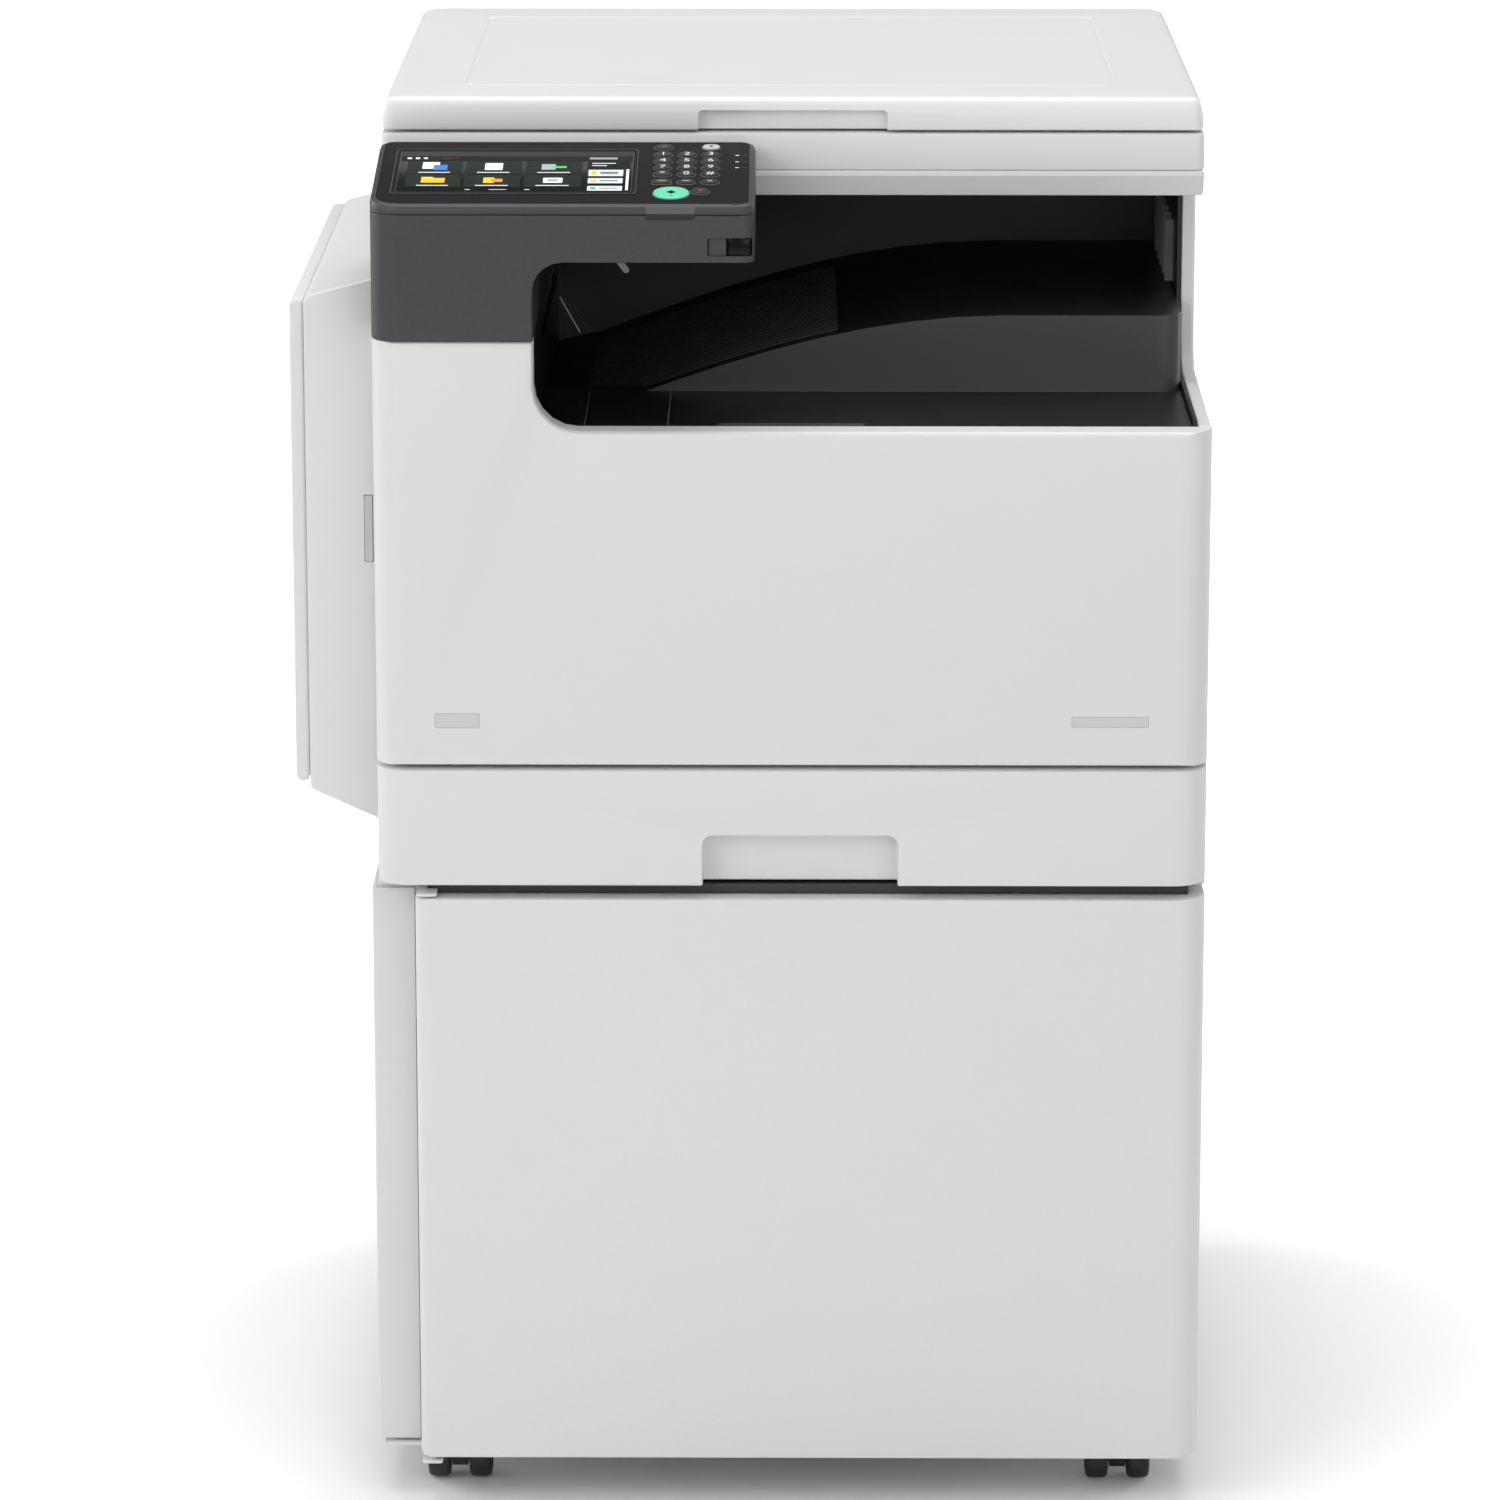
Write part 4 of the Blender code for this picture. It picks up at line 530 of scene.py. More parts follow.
class COPIER_OT_covers(bpy.types.Operator):
    """Rounds the edges of the white covers and the cabinet"""

    bl_idname = "copier.covers"
    bl_label = "White covers"

    def execute(self, context):
        for node, finish, share in SOFT_COVERS:
            soften(node, finish, sizes().cover_edge * share)
        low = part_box("front_cover")[0]
        fields = bmesh.new()
        lines = bmesh.new()
        for left, right, bottom, top in (LABEL_LEFT, LABEL_RIGHT):
            sides = (low.x + left, low.x + right, low.z + bottom, low.z + top)
            outer = rectangle(*sides, LABEL_RADIUS)
            field_y = (low.y + LABEL_SUNK, low.y - LABEL_PROUD * 0.8)
            prism(fields, outer, [(y, LABEL_LINE) for y in field_y], "Y")
            rows = []
            for y, inset in LABEL_SECTION:
                rows.append([in_space(p.x, p.y, low.y + y, "Y") for p in rounded(outer, inset)])
            closed_band(lines, rows)
        show("cover_labels", fields, "label", "front_cover")
        show("cover_label_edges", lines, "edge_ink", "front_cover")
        return {"FINISHED"}


# Platen cover and its pad

LID_STEPS = ((0.0, 0.0012), (0.0008, 0.0004), (0.0022, 0.0), (0.012, 0.0008), (0.0165, 0.0016))
LID_TOP_STEPS = ((0.0194, 0.0026), (0.0212, 0.0042), (0.0221, 0.0066), (0.0224, 0.0095))
LID_FIELD_MARGINS = (0.0545, 0.058, 0.062, 0.057)
LID_FIELD_RADIUS = 0.012
LID_FRONT_RADIUS = 0.008
LID_REAR_RADIUS = 0.020
RECESS_WIDTH = 0.130
RECESS_HEIGHT = 0.0136
RECESS_DEPTH = 0.008
RECESS_RADIUS = 0.003
PAD_RADIUS = 0.005
PAD_ROOM = 0.0003
PAD_EDGE = 0.0019
HINGE_INSET = 0.009
CUT_OVER = 0.003
BAR_ROUNDING = 0.49
GROOVE_SECTION = ((0, 0), (1, 0.3), (1, 0.7), (0, 1))


def carve(name, shape, *cutters):
    """The shape with the cutters taken away, as a new shape."""
    made = placed(name, as_mesh(name, shape))
    helpers = []
    for cutter in cutters:
        helper = placed("cutter", as_mesh("cutter", cutter))
        modifier = made.modifiers.new("Cut", "BOOLEAN")
        modifier.solver = "EXACT"
        modifier.object = helper
        helpers.append(helper)
    graph = bpy.context.evaluated_depsgraph_get()
    result = bmesh.new()
    result.from_mesh(bpy.data.meshes.new_from_object(made.evaluated_get(graph)))
    for old in (made, *helpers):
        bpy.data.objects.remove(old)
    bmesh.ops.remove_doubles(result, verts=result.verts, dist=WELD)
    return result


def block(x, y, z, radius=0.0, axis="Z"):
    """Closed block between (low, high) pairs, its edges along the axis rounded."""
    pairs = {"X": (y, z, x), "Y": (x, z, y), "Z": (x, y, z)}[axis]
    outline = rectangle(*pairs[0], *pairs[1], radius)
    return prism(bmesh.new(), outline, levels(*pairs[2]), axis)


def merged(shape, other):
    """The shape with the other one added; the other one is freed."""
    mesh = as_mesh("merged", other)
    shape.from_mesh(mesh)
    bpy.data.meshes.remove(mesh)
    return shape


def add_block(shape, x, y, z, radius=0.0, axis="Z"):
    """Adds a block between (low, high) pairs."""
    return merged(shape, block(x, y, z, radius, axis))


def bar(shape, start, end, width, depth):
    """Adds a round-ended bar between two (x, z) points, through a (front, rear) pair of depths."""
    along = (Vector(end) - Vector(start)).normalized() * width / 2
    across = Vector((-along.y, along.x))
    low = Vector(start)
    high = Vector(end)
    points = [low + across - along, low - across - along]
    points += [high - across + along, high + across + along]
    radius = width * BAR_ROUNDING
    return prism(shape, [(p.x, p.y, radius) for p in points], levels(*depth), "Y")


class COPIER_OT_lid(bpy.types.Operator):
    """Builds the platen cover with its grooved field, lift recess and backing pad"""

    bl_idname = "copier.lid"
    bl_label = "Platen cover"

    def execute(self, context):
        low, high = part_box("platen_cover")
        corners = [
            (low.x, low.y, LID_FRONT_RADIUS),
            (high.x, low.y, LID_FRONT_RADIUS),
            (high.x, high.y, LID_REAR_RADIUS),
            (low.x, high.y, LID_REAR_RADIUS),
        ]
        left, right, front, rear = LID_FIELD_MARGINS
        field = rectangle(low.x + left, high.x - right, low.y + front, high.y - rear, LID_FIELD_RADIUS)
        width = sizes().groove_width
        deep = sizes().groove_depth
        steps = [(low.z + rise, inset) for rise, inset in LID_STEPS + LID_TOP_STEPS]
        rings = [[in_space(p.x, p.y, h, "Z") for p in rounded(corners, inset)] for h, inset in steps]
        for down, across in GROOVE_SECTION:
            edge = rounded(field, width * across)
            rings.append([in_space(p.x, p.y, high.z - deep * down, "Z") for p in edge])
        shape = loft(bmesh.new(), rings)
        middle = (low.x + high.x) / 2
        grip_x = (middle - RECESS_WIDTH / 2, middle + RECESS_WIDTH / 2)
        grip_y = (low.y - CUT_OVER, low.y + RECESS_DEPTH)
        grip_z = (low.z - CUT_OVER, low.z + RECESS_HEIGHT)
        grip = block(grip_x, grip_y, grip_z, RECESS_RADIUS, "Y")
        pad_low, pad_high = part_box("platen_pad")
        pad_x = (pad_low.x - PAD_ROOM, pad_high.x + PAD_ROOM)
        pad_y = (pad_low.y - PAD_ROOM, pad_high.y + PAD_ROOM)
        bed = block(pad_x, pad_y, (low.z - CUT_OVER, pad_high.z + PAD_ROOM))
        hinge_y = high.y - HINGE_INSET
        relief = [
            (hinge_y - CUT_OVER, low.z - CUT_OVER, 0),
            (high.y + CUT_OVER, low.z - CUT_OVER, 0),
            (high.y + CUT_OVER, low.z + HINGE_INSET + CUT_OVER, 0),
        ]
        reach = [(low.x - CUT_OVER, 0.0), (high.x + CUT_OVER, 0.0)]
        shape = carve("platen_cover_carved", shape, grip, bed, prism(bmesh.new(), relief, reach, "X"))
        lid = show("platen_cover_shell", shape, "lid", "lid")
        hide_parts("platen_cover")
        outline = rectangle(pad_low.x, pad_high.x, pad_low.y, pad_high.y, PAD_RADIUS)
        pad = prism(bmesh.new(), outline, levels(pad_low.z, pad_high.z, PAD_EDGE, True))
        pad = show("platen_pad_foam", pad, "pad", "lid", math.radians(60))
        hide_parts("platen_pad")
        return {"FINISHED"}


# Operation panel

SCREEN_PROUD = 0.0006
FACE_ON = 0.97
GAP_SEEN = 0.0003
SWITCH_STOP_LEFT = -0.0127
SWITCH_STOP_RIGHT = -0.0012
SWITCH_STOP_SUNK = 0.0015
SWITCH_STOP_REAR = 0.0074
TAB_PROUD = 0.00006
TAB_SUNK = 0.001
TAB_EDGE = 0.0002
TAB_RADIUS = 0.0012
TAB_LEFT = -0.0728
TAB_RIGHT = -0.0396
TAB_RISE = 0.0052
TAB_DROP = 0.0041
LAMP_PAST_KEYS = 0.0166
LAMP_ROWS = (0.0835, 0.0695, 0.0568)
LAMP_WIDTH = 0.0026
LAMP_LENGTH = 0.0014
LAMP_RADIUS = 0.0003
LAMP_LINE = 0.009
LINE_GAP = 0.001
LINE_SPAN = (0.0004, 0.0008)
CORNER_MARK = (-0.0026, 0.0032)
CORNER_MARK_UP = -0.0208
CORNER_MARK_TALL = 0.0009
CORNER_MARK_RADIUS = 0.0004
FLAT_MARK = ((0.00001, 0.0), (0.00008, 0.0))


class PanelFace:
    """The panel's tilted face: x across it, up along its slope, rise square to it."""

    def __init__(self):
        press = next(j["axis"] for j in frame["joints"] if j["name"] == "key_5_press")
        self.normal = -Vector(press).normalized()
        self.up = self.normal.cross(Vector((1, 0, 0)))
        points = [v.co for v in frame["nodes"]["touch_screen"].data.vertices]
        self.left = min(p.x for p in points)
        self.low = min(p.dot(self.up) for p in points)
        self.top = max(p.dot(self.normal) for p in points) - SCREEN_PROUD
        self.width = max(p.x for p in points) - self.left
        self.height = max(p.dot(self.up) for p in points) - self.low

    def at(self, x, up, rise):
        """Point from the screen's lower left corner."""
        return Vector((self.left + x, 0, 0)) + self.up * (self.low + up) + self.normal * (self.top + rise)

    def node(self, name):
        """Middle x, middle up, width, length and rise of a node, from the same corner."""
        points = [v.co for v in frame["nodes"][name].data.vertices]
        xs = [p.x - self.left for p in points]
        ups = [p.dot(self.up) - self.low for p in points]
        rise = max(p.dot(self.normal) for p in points) - self.top
        middle = ((min(xs) + max(xs)) / 2, (min(ups) + max(ups)) / 2)
        return *middle, max(xs) - min(xs), max(ups) - min(ups), rise

    def foot(self, name):
        """Rise of a node's lowest point."""
        points = [v.co for v in frame["nodes"][name].data.vertices]
        return min(p.dot(self.normal) for p in points) - self.top

    def plate(self, shape, corners, steps):
        """Adds an outline raised square to the face through (rise, inset) steps."""
        outlines = [(rise, rounded(corners, inset)) for rise, inset in steps]
        return loft(shape, [[self.at(p.x, p.y, rise) for p in outline] for rise, outline in outlines])

    def ring(self, shape, outer, inner, low, high):
        """Adds a closed band between two outlines of equally many points."""
        section = ((outer, low), (outer, high), (inner, high), (inner, low))
        rows = [[self.at(p.x, p.y, rise) for p in rounded(edge)] for edge, rise in section]
        return closed_band(shape, rows)


class COPIER_OT_panel(bpy.types.Operator):
    """Finishes the operation panel's housing, face, indicator tab, switch and lamps"""

    bl_idname = "copier.panel"
    bl_label = "Operation panel"

    def execute(self, context):
        face = PanelFace()
        soften("panel_housing", "charcoal", sizes().cover_edge)
        top = soften("panel_top", "panel", sizes().fine_edge * 1.6)
        # The sides of the panel's face take the front's lighter charcoal; on its rounded edge that lighter tone is
        # a painted highlight.
        top.data.materials.append(finish_of("charcoal"))
        for polygon in top.data.polygons:
            if abs(polygon.normal.dot(face.normal)) < FACE_ON:
                polygon.material_index = 1
        soften("power_switch", "screen", sizes().cover_edge)
        low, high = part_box("panel_housing")
        switch_low, switch_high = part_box("power_switch")
        stop_x = (switch_low.x + SWITCH_STOP_LEFT, switch_low.x + SWITCH_STOP_RIGHT)
        stop_y = (low.y + SWITCH_STOP_SUNK, low.y + SWITCH_STOP_REAR)
        stop_z = (switch_low.z, switch_high.z)
        stop = block(stop_x, stop_y, stop_z, sizes().fine_edge, "Y")
        show("switch_stop", stop, "charcoal", "base")
        self.indicator_tab(low, high)
        self.lamps(face)
        return {"FINISHED"}

    def indicator_tab(self, low, high):
        """Two-toned lens over the front edge of the panel, below the keys."""
        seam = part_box("panel_top")[0].z
        left = high.x + TAB_LEFT
        right = high.x + TAB_RIGHT
        front = low.y - TAB_PROUD
        steps = [(low.y + TAB_SUNK, 0.0), (front + TAB_EDGE, 0.0), (front, TAB_EDGE)]
        halves = (
            ("lens", seam + GAP_SEEN, seam + TAB_RISE, "lens"),
            ("foot", seam - TAB_DROP, seam, "lens_foot"),
        )
        for name, bottom, top, finish in halves:
            shape = prism(bmesh.new(), rectangle(left, right, bottom, top, TAB_RADIUS), steps, "Y")
            show(f"indicator_{name}", shape, finish, "base")

    def lamps(self, face):
        """Status marks at the right edge, the thin lines beside them and the corner mark."""
        marks = bmesh.new()
        lines = bmesh.new()
        edge = face.node("key_sleep")[0] + LAMP_PAST_KEYS
        for up in LAMP_ROWS:
            mark = rectangle(edge, edge + LAMP_WIDTH, up, up + LAMP_LENGTH, LAMP_RADIUS)
            face.plate(marks, mark, FLAT_MARK)
            start = edge + LAMP_WIDTH + LINE_GAP
            line = rectangle(start, start + LAMP_LINE, up + LINE_SPAN[0], up + LINE_SPAN[1])
            face.plate(lines, line, FLAT_MARK)
        left, right = (edge + x for x in CORNER_MARK)
        top = CORNER_MARK_UP + CORNER_MARK_TALL
        corner = rectangle(left, right, CORNER_MARK_UP, top, CORNER_MARK_RADIUS)
        face.plate(lines, corner, FLAT_MARK)
        show("status_lamps", marks, "white_ink", "base")
        show("status_lines", lines, "grey_ink", "base")


# Display

DISPLAY_LEFT = 0.0040
DISPLAY_LOW = 0.0047
BEZEL_WIDTH = 0.0028
BEZEL_RIM = 0.0005
BEZEL_STEP = 0.0009
BEZEL_GAP = 0.00005
BEZEL_DROP = 0.0002
SCREEN_RADIUS = 0.003
GLASS_SUNK = 0.0004
PATCH_RISE = 0.00006
DISPLAY_GLOW = 0.5
TILE_COLUMNS = ((4.9, 42.3), (44.5, 82.6), (85.2, 123.6))
TILE_ROWS = ((10.0, 35.8), (38.0, 66.0))
SIDE_BARS = ((33.5, 46.9), (18.0, 29.0), (2.2, 12.2))
SIDE_MARKS = ("#c9b54a", "#c9b54a", "#3f9c72")

# Patches of the display in mm from its lower left corner: colour, left, right, bottom, top, radius.
DISPLAY_PATCHES = (
    ("#101213", 0.0, 157.6, 66.8, 76.8, 0.0),
    ("#7a5a4a", 27.0, 56.0, 70.5, 73.0, 0.4),
    ("#8b8f92", 128.0, 147.0, 69.5, 73.8, 0.8),
    ("#d8dadb", 4.0, 7.0, 70.0, 73.4, 0.4),
    ("#d8dadb", 9.5, 12.5, 70.0, 73.4, 0.4),
    ("#d8dadb", 15.0, 18.0, 70.0, 73.4, 1.4),
    ("#cfd2d3", 46.0, 49.5, 3.6, 4.8, 0.3),
    ("#cfd2d3", 62.0, 74.0, 3.8, 4.6, 0.3),
    ("#cfd2d3", 86.0, 89.5, 3.6, 4.8, 0.3),
    ("#101213", 127.0, 156.0, 50.0, 65.5, 0.6),
    ("#d8dadb", 130.0, 146.0, 60.2, 61.6, 0.2),
    ("#d8dadb", 130.0, 140.0, 55.4, 56.8, 0.2),
    ("#e6e8e9", 153.6, 155.4, 3.0, 48.0, 0.8),
)

# Icons on the tiles, in mm from the tile's middle: column, row, colour, left, right, bottom, top.
TILE_ICONS = (
    (0, 1, "#e9eced", -8.5, 3.0, -3.0, 11.0),
    (0, 1, "#3d74c4", -1.0, 8.5, -6.0, 5.0),
    (0, 1, "#cfe0f4", 1.0, 6.5, -3.4, 2.6),
    (1, 1, "#e9eced", -6.0, 6.0, -5.5, 9.0),
    (1, 1, "#9fb2ba", -3.8, 3.8, 4.5, 5.8),
    (1, 1, "#9fb2ba", -3.8, 3.8, 1.2, 2.5),
    (2, 1, "#9aa3a6", -8.5, 1.0, -5.0, 7.0),
    (2, 1, "#4fbf6b", -1.0, 8.5, -1.5, 2.5),
    (0, 0, "#d9b13b", -8.0, 8.0, -4.0, 6.0),
    (0, 0, "#e9cf6d", -8.0, 0.0, 6.0, 8.0),
    (1, 0, "#e2b93d", -6.0, 1.5, -4.5, 7.0),
    (1, 0, "#e08a35", -0.5, 7.0, -2.5, 4.0),
    (2, 0, "#e9eced", -6.5, 6.5, -4.0, 6.5),
    (2, 0, "#7f98a3", -3.5, 3.5, -1.0, 3.5),
)
OVER_ICONS = ("#3d74c4", "#9fb2ba", "#4fbf6b", "#e08a35", "#7f98a3")


class COPIER_OT_display(bpy.types.Operator):
    """Builds the touch display: bezel, glass and its menu of tiles"""

    bl_idname = "copier.display"
    bl_label = "Touch display"

    def execute(self, context):
        face = PanelFace()
        base = SCREEN_PROUD - GLASS_SUNK
        outer = rectangle(0, face.width, 0, face.height, SCREEN_RADIUS)
        glass = face.plate(bmesh.new(), outer, levels(face.foot("touch_screen"), base))
        glass = show("touch_screen_glass", glass, "screen", "base")
        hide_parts("touch_screen")
        bezel = self.band(face, BEZEL_RIM + BEZEL_GAP, BEZEL_WIDTH, SCREEN_PROUD)
        show("display_bezel", bezel, "panel", "base")
        rim = self.band(face, 0.0, BEZEL_RIM, SCREEN_PROUD)
        show("display_rim", rim, "grey_ink", "base")
        inside = BEZEL_WIDTH + BEZEL_STEP
        inner = self.band(face, BEZEL_WIDTH + BEZEL_STEP * 0.4, inside, SCREEN_PROUD - BEZEL_DROP)
        show("display_inner_bezel", inner, "charcoal", "base")
        for code, patches in self.patches().items():
            shape = bmesh.new()
            for order, patch in patches:
                left, right, bottom, top, radius = [value * MM for value in patch]
                across = (DISPLAY_LEFT + left, DISPLAY_LEFT + right)
                corners = rectangle(*across, DISPLAY_LOW + bottom, DISPLAY_LOW + top, radius)
                rise = base + PATCH_RISE * order
                face.plate(shape, corners, levels(rise + PATCH_RISE * 0.1, rise + PATCH_RISE * 0.8))
            show(f"display_{code[1:]}", shape, lit(code), "base")
        return {"FINISHED"}

    def band(self, face, outer, inner, high):
        """A band between two insets from the display's outline, raised from its glass."""
        edges = [rectangle(i, face.width - i, i, face.height - i, SCREEN_RADIUS) for i in (outer, inner)]
        return face.ring(bmesh.new(), *edges, SCREEN_PROUD - GLASS_SUNK, high)

    def patches(self):
        """The display's patches by colour, each with the layer that it lies in."""
        found = {}
        for code, *patch in DISPLAY_PATCHES:
            layer = 1 if patch[1] - patch[0] > 25 else 2
            found.setdefault(code, []).append((layer, patch))
        for left, right in TILE_COLUMNS:
            for bottom, top in TILE_ROWS:
                found.setdefault("#18211c", []).append((1, (left, right, bottom, top, 1.2)))
                caption = (left + 8, right - 8, bottom + 2.2, bottom + 3.8, 0.4)
                found.setdefault("#cfd2d3", []).append((2, caption))
        for column, row, code, left, right, bottom, top in TILE_ICONS:
            middle_x = sum(TILE_COLUMNS[column]) / 2
            middle_y = sum(TILE_ROWS[row]) / 2
            icon = (middle_x + left, middle_x + right, middle_y + bottom, middle_y + top, 0.6)
            found.setdefault(code, []).append((3 if code in OVER_ICONS else 2, icon))
        for (bottom, top), mark in zip(SIDE_BARS, SIDE_MARKS):
            found.setdefault("#c4c8ca", []).append((1, (128.0, 151.5, bottom, top, 0.8)))
            found.setdefault(mark, []).append((2, (130.0, 133.5, bottom + 3.0, top - 3.0, 0.4)))
            found.setdefault("#6d7376", []).append((2, (136.0, 148.0, bottom + 4.4, top - 4.4, 0.3)))
        return found


# Keys

DIGIT_KEYS = {"star": "*", "hash": "#", **{str(number): str(number) for number in range(10)}}
KEY_NAMES = (*DIGIT_KEYS, "home", "sleep", "settings", "identify", "clear", "start", "stop")
SQUARE_KEYS = ("settings",)
KEY_FINISHES = {"sleep": "pale", "start": "mint"}
SQUARE_KEY_RADIUS = 0.001
ROUND_KEY_SHARE = 2.1
LARGE_KEYS = ("start", "stop")
LARGE_KEY_EDGE = 0.0009
KEY_EDGE = 0.0006
SKIRT_WIDTH = 0.0008
SKIRT_OFFSET = 0.0007
SKIRT_OVERLAP = 0.0001
SKIRT_RISE = (0.00002, 0.00022)
LEGEND_THICKNESS = 0.00006
LEGEND_GAP = 0.00001
LEGEND_WELD = 0.000001
FONT_SHARE = 1.38
START_DIAMOND = 0.0034
START_DOT = (-0.0006, 0.0006, -0.0078, -0.0066)
START_DOT_RADIUS = 0.0005

# Icons of the other keys in mm from the key's middle: key, finish, left, right, bottom, top, radius.
KEY_ICONS = (
    ("home", "grey_ink", -1.6, 1.6, -1.6, 1.6, 0.3),
    ("sleep", "key", -1.4, 1.4, -1.4, 1.4, 1.35),
    ("settings", "olive_ink", -3.2, 3.2, -1.1, 1.1, 1.0),
    ("identify", "white_ink", -2.4, 2.4, -0.4, 0.4, 0.2),
    ("clear", "white_ink", -1.6, 1.6, -0.5, 0.5, 0.2),
    ("stop", "red_ink", -1.7, 1.7, -1.7, 1.7, 1.6),
)


class COPIER_OT_keys(bpy.types.Operator):
    """Builds each key's cap with its legend and the lit rim of its hole"""

    bl_idname = "copier.keys"
    bl_label = "Keys"

    def execute(self, context):
        face = PanelFace()
        skirts = bmesh.new()
        for name in KEY_NAMES:
            x, up, width, length, rise = face.node(f"key_{name}")
            self.cap(face, name, x, up, width, length, rise)
            self.legend(face, name, x, up, rise)
            self.skirt(face, skirts, name, x, up, width, length)
        # The crescents are a painted highlight on the chamfers of the keys' holes.
        show("key_skirts", skirts, "rim", "base")
        return {"FINISHED"}

    def outline(self, name, x, up, width, length, grow=0.0, drop=0.0):
        """Corners of a key's outline, grown and moved down the face."""
        radius = SQUARE_KEY_RADIUS if name in SQUARE_KEYS else length / ROUND_KEY_SHARE
        half_x = width / 2 + grow
        half_up = length / 2 + grow
        return rectangle(x - half_x, x + half_x, up - half_up - drop, up + half_up - drop, radius + grow)

    def cap(self, face, name, x, up, width, length, rise):
        node = f"key_{name}"
        foot = face.foot(node)
        edge = LARGE_KEY_EDGE if name in LARGE_KEYS else KEY_EDGE
        quarter = [math.pi / 2 * step / 4 for step in range(5)]
        steps = [(foot, 0.0)]
        steps += [(rise - edge * (1 - math.sin(a)), edge * (1 - math.cos(a))) for a in quarter]
        shape = face.plate(bmesh.new(), self.outline(name, x, up, width, length), steps)
        cap = show(f"{node}_cap", shape, KEY_FINISHES.get(name, "key"), node)
        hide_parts(node)

    def skirt(self, face, shape, name, x, up, width, length):
        """Adds the crescent below a key, where its hole's chamfer catches the light."""
        outer = self.outline(name, x, up, width, length, SKIRT_WIDTH, SKIRT_OFFSET)
        inside = SKIRT_WIDTH - SKIRT_OFFSET + SKIRT_OVERLAP
        inner = self.outline(name, x, up, width, length, inside)
        face.ring(shape, outer, inner, *SKIRT_RISE)

    def legend(self, face, name, x, up, rise):
        """Adds the digit, or the plain mark, on a key's cap."""
        shape = bmesh.new()
        finish = "white_ink"
        steps = levels(rise + LEGEND_GAP, rise + LEGEND_THICKNESS)
        if name in DIGIT_KEYS:
            curve = bpy.data.curves.new("legend", "FONT")
            curve.body = DIGIT_KEYS[name]
            curve.size = sizes().legend_height * FONT_SHARE
            curve.align_x = "CENTER"
            curve.align_y = "CENTER"
            curve.extrude = LEGEND_THICKNESS / 2
            curve.resolution_u = 3
            text = placed("legend", curve)
            graph = bpy.context.evaluated_depsgraph_get()
            shape.from_mesh(bpy.data.meshes.new_from_object(text.evaluated_get(graph)))
            bpy.data.objects.remove(text)
            bmesh.ops.remove_doubles(shape, verts=shape.verts, dist=LEGEND_WELD)
            for vertex in shape.verts:
                place = vertex.co.copy()
                over = rise + LEGEND_THICKNESS * 0.6 + place.z
                vertex.co = face.at(x + place.x, up + place.y, over)
            bmesh.ops.recalc_face_normals(shape, faces=shape.faces)
        elif name == "start":
            finish = "panel"
            size = START_DIAMOND
            diamond = [(x, up - size, 0), (x + size, up, 0), (x, up + size, 0), (x - size, up, 0)]
            face.plate(shape, diamond, steps)
            left, right, bottom, top = START_DOT
            dot = rectangle(x + left, x + right, up + bottom, up + top, START_DOT_RADIUS)
            face.plate(shape, dot, steps)
        else:
            _, finish, *sides = next(icon for icon in KEY_ICONS if icon[0] == name)
            left, right, bottom, top, radius = [value * MM for value in sides]
            corners = rectangle(x + left, x + right, up + bottom, up + top, radius)
            face.plate(shape, corners, steps)
        show(f"key_{name}_legend", shape, finish, f"key_{name}")


# Repeated details, made with geometry nodes

# A screw's crown and the length and width of its slots, as shares of its radius.
CROWN_SHARE = 0.72
SLOT_LONG = 1.3
SLOT_NARROW = 0.26


def make_tree(name, inputs):
    """Geometry tree with a mesh input, these named number inputs and a mesh output."""
    tree = bpy.data.node_groups.new(name, "GeometryNodeTree")
    tree.interface.new_socket("Geometry", in_out="INPUT", socket_type="NodeSocketGeometry")
    for label, (kind, value) in inputs.items():
        socket = tree.interface.new_socket(label, in_out="INPUT", socket_type=f"NodeSocket{kind}")
        socket.default_value = value
    tree.interface.new_socket("Geometry", in_out="OUTPUT", socket_type="NodeSocketGeometry")
    source = add(tree, "NodeGroupInput")
    return tree, source


def end_tree(tree, instances, finish):
    """Realises the instances, gives them their material and feeds the output."""
    real = add(tree, "GeometryNodeRealizeInstances", {"Geometry": instances}).outputs[0]
    painted = add(tree, "GeometryNodeSetMaterial", {"Geometry": real})
    painted.inputs["Material"].default_value = finish_of(finish)
    add(tree, "NodeGroupOutput", {"Geometry": painted.outputs[0]})
    return tree


def row_of(tree, source, mesh):
    """Copies of a mesh along a line whose step is the tree's Pitch."""
    span = {"Count": source.outputs["Count"], "Offset": source.outputs["Pitch"]}
    line = add(tree, "GeometryNodeMeshLine", span, mode="OFFSET")
    laid = {"Points": line.outputs[0], "Instance": mesh}
    return add(tree, "GeometryNodeInstanceOnPoints", laid).outputs[0]


def rail_tree(finish):
    """Rounded rails that follow the base mesh's edges, repeated along a line."""
    inputs = {
        "Width": ("Float", 0.002),
        "Height": ("Float", 0.001),
        "Edge": ("Float", 0.0003),
        "Count": ("Int", 2),
        "Pitch": ("Vector", (0, 0.02, 0)),
    }
    tree, source = make_tree(f"Rails in {finish}", inputs)
    path = add(tree, "GeometryNodeMeshToCurve", {"Mesh": source.outputs["Geometry"]}).outputs[0]
    upright = add(tree, "GeometryNodeSetCurveNormal", {"Curve": path}, mode="Z_UP").outputs[0]
    section = add(tree, "GeometryNodeCurvePrimitiveQuadrilateral")
    tree.links.new(source.outputs["Width"], section.inputs["Width"])
    tree.links.new(source.outputs["Height"], section.inputs["Height"])
    fillet = {"Curve": section.outputs[0], "Radius": source.outputs["Edge"]}
    softer = add(tree, "GeometryNodeFilletCurve", fillet)
    sweep = {"Curve": upright, "Profile Curve": softer.outputs[0], "Fill Caps": True}
    swept = add(tree, "GeometryNodeCurveToMesh", sweep)
    return end_tree(tree, row_of(tree, source, swept.outputs[0]), finish)


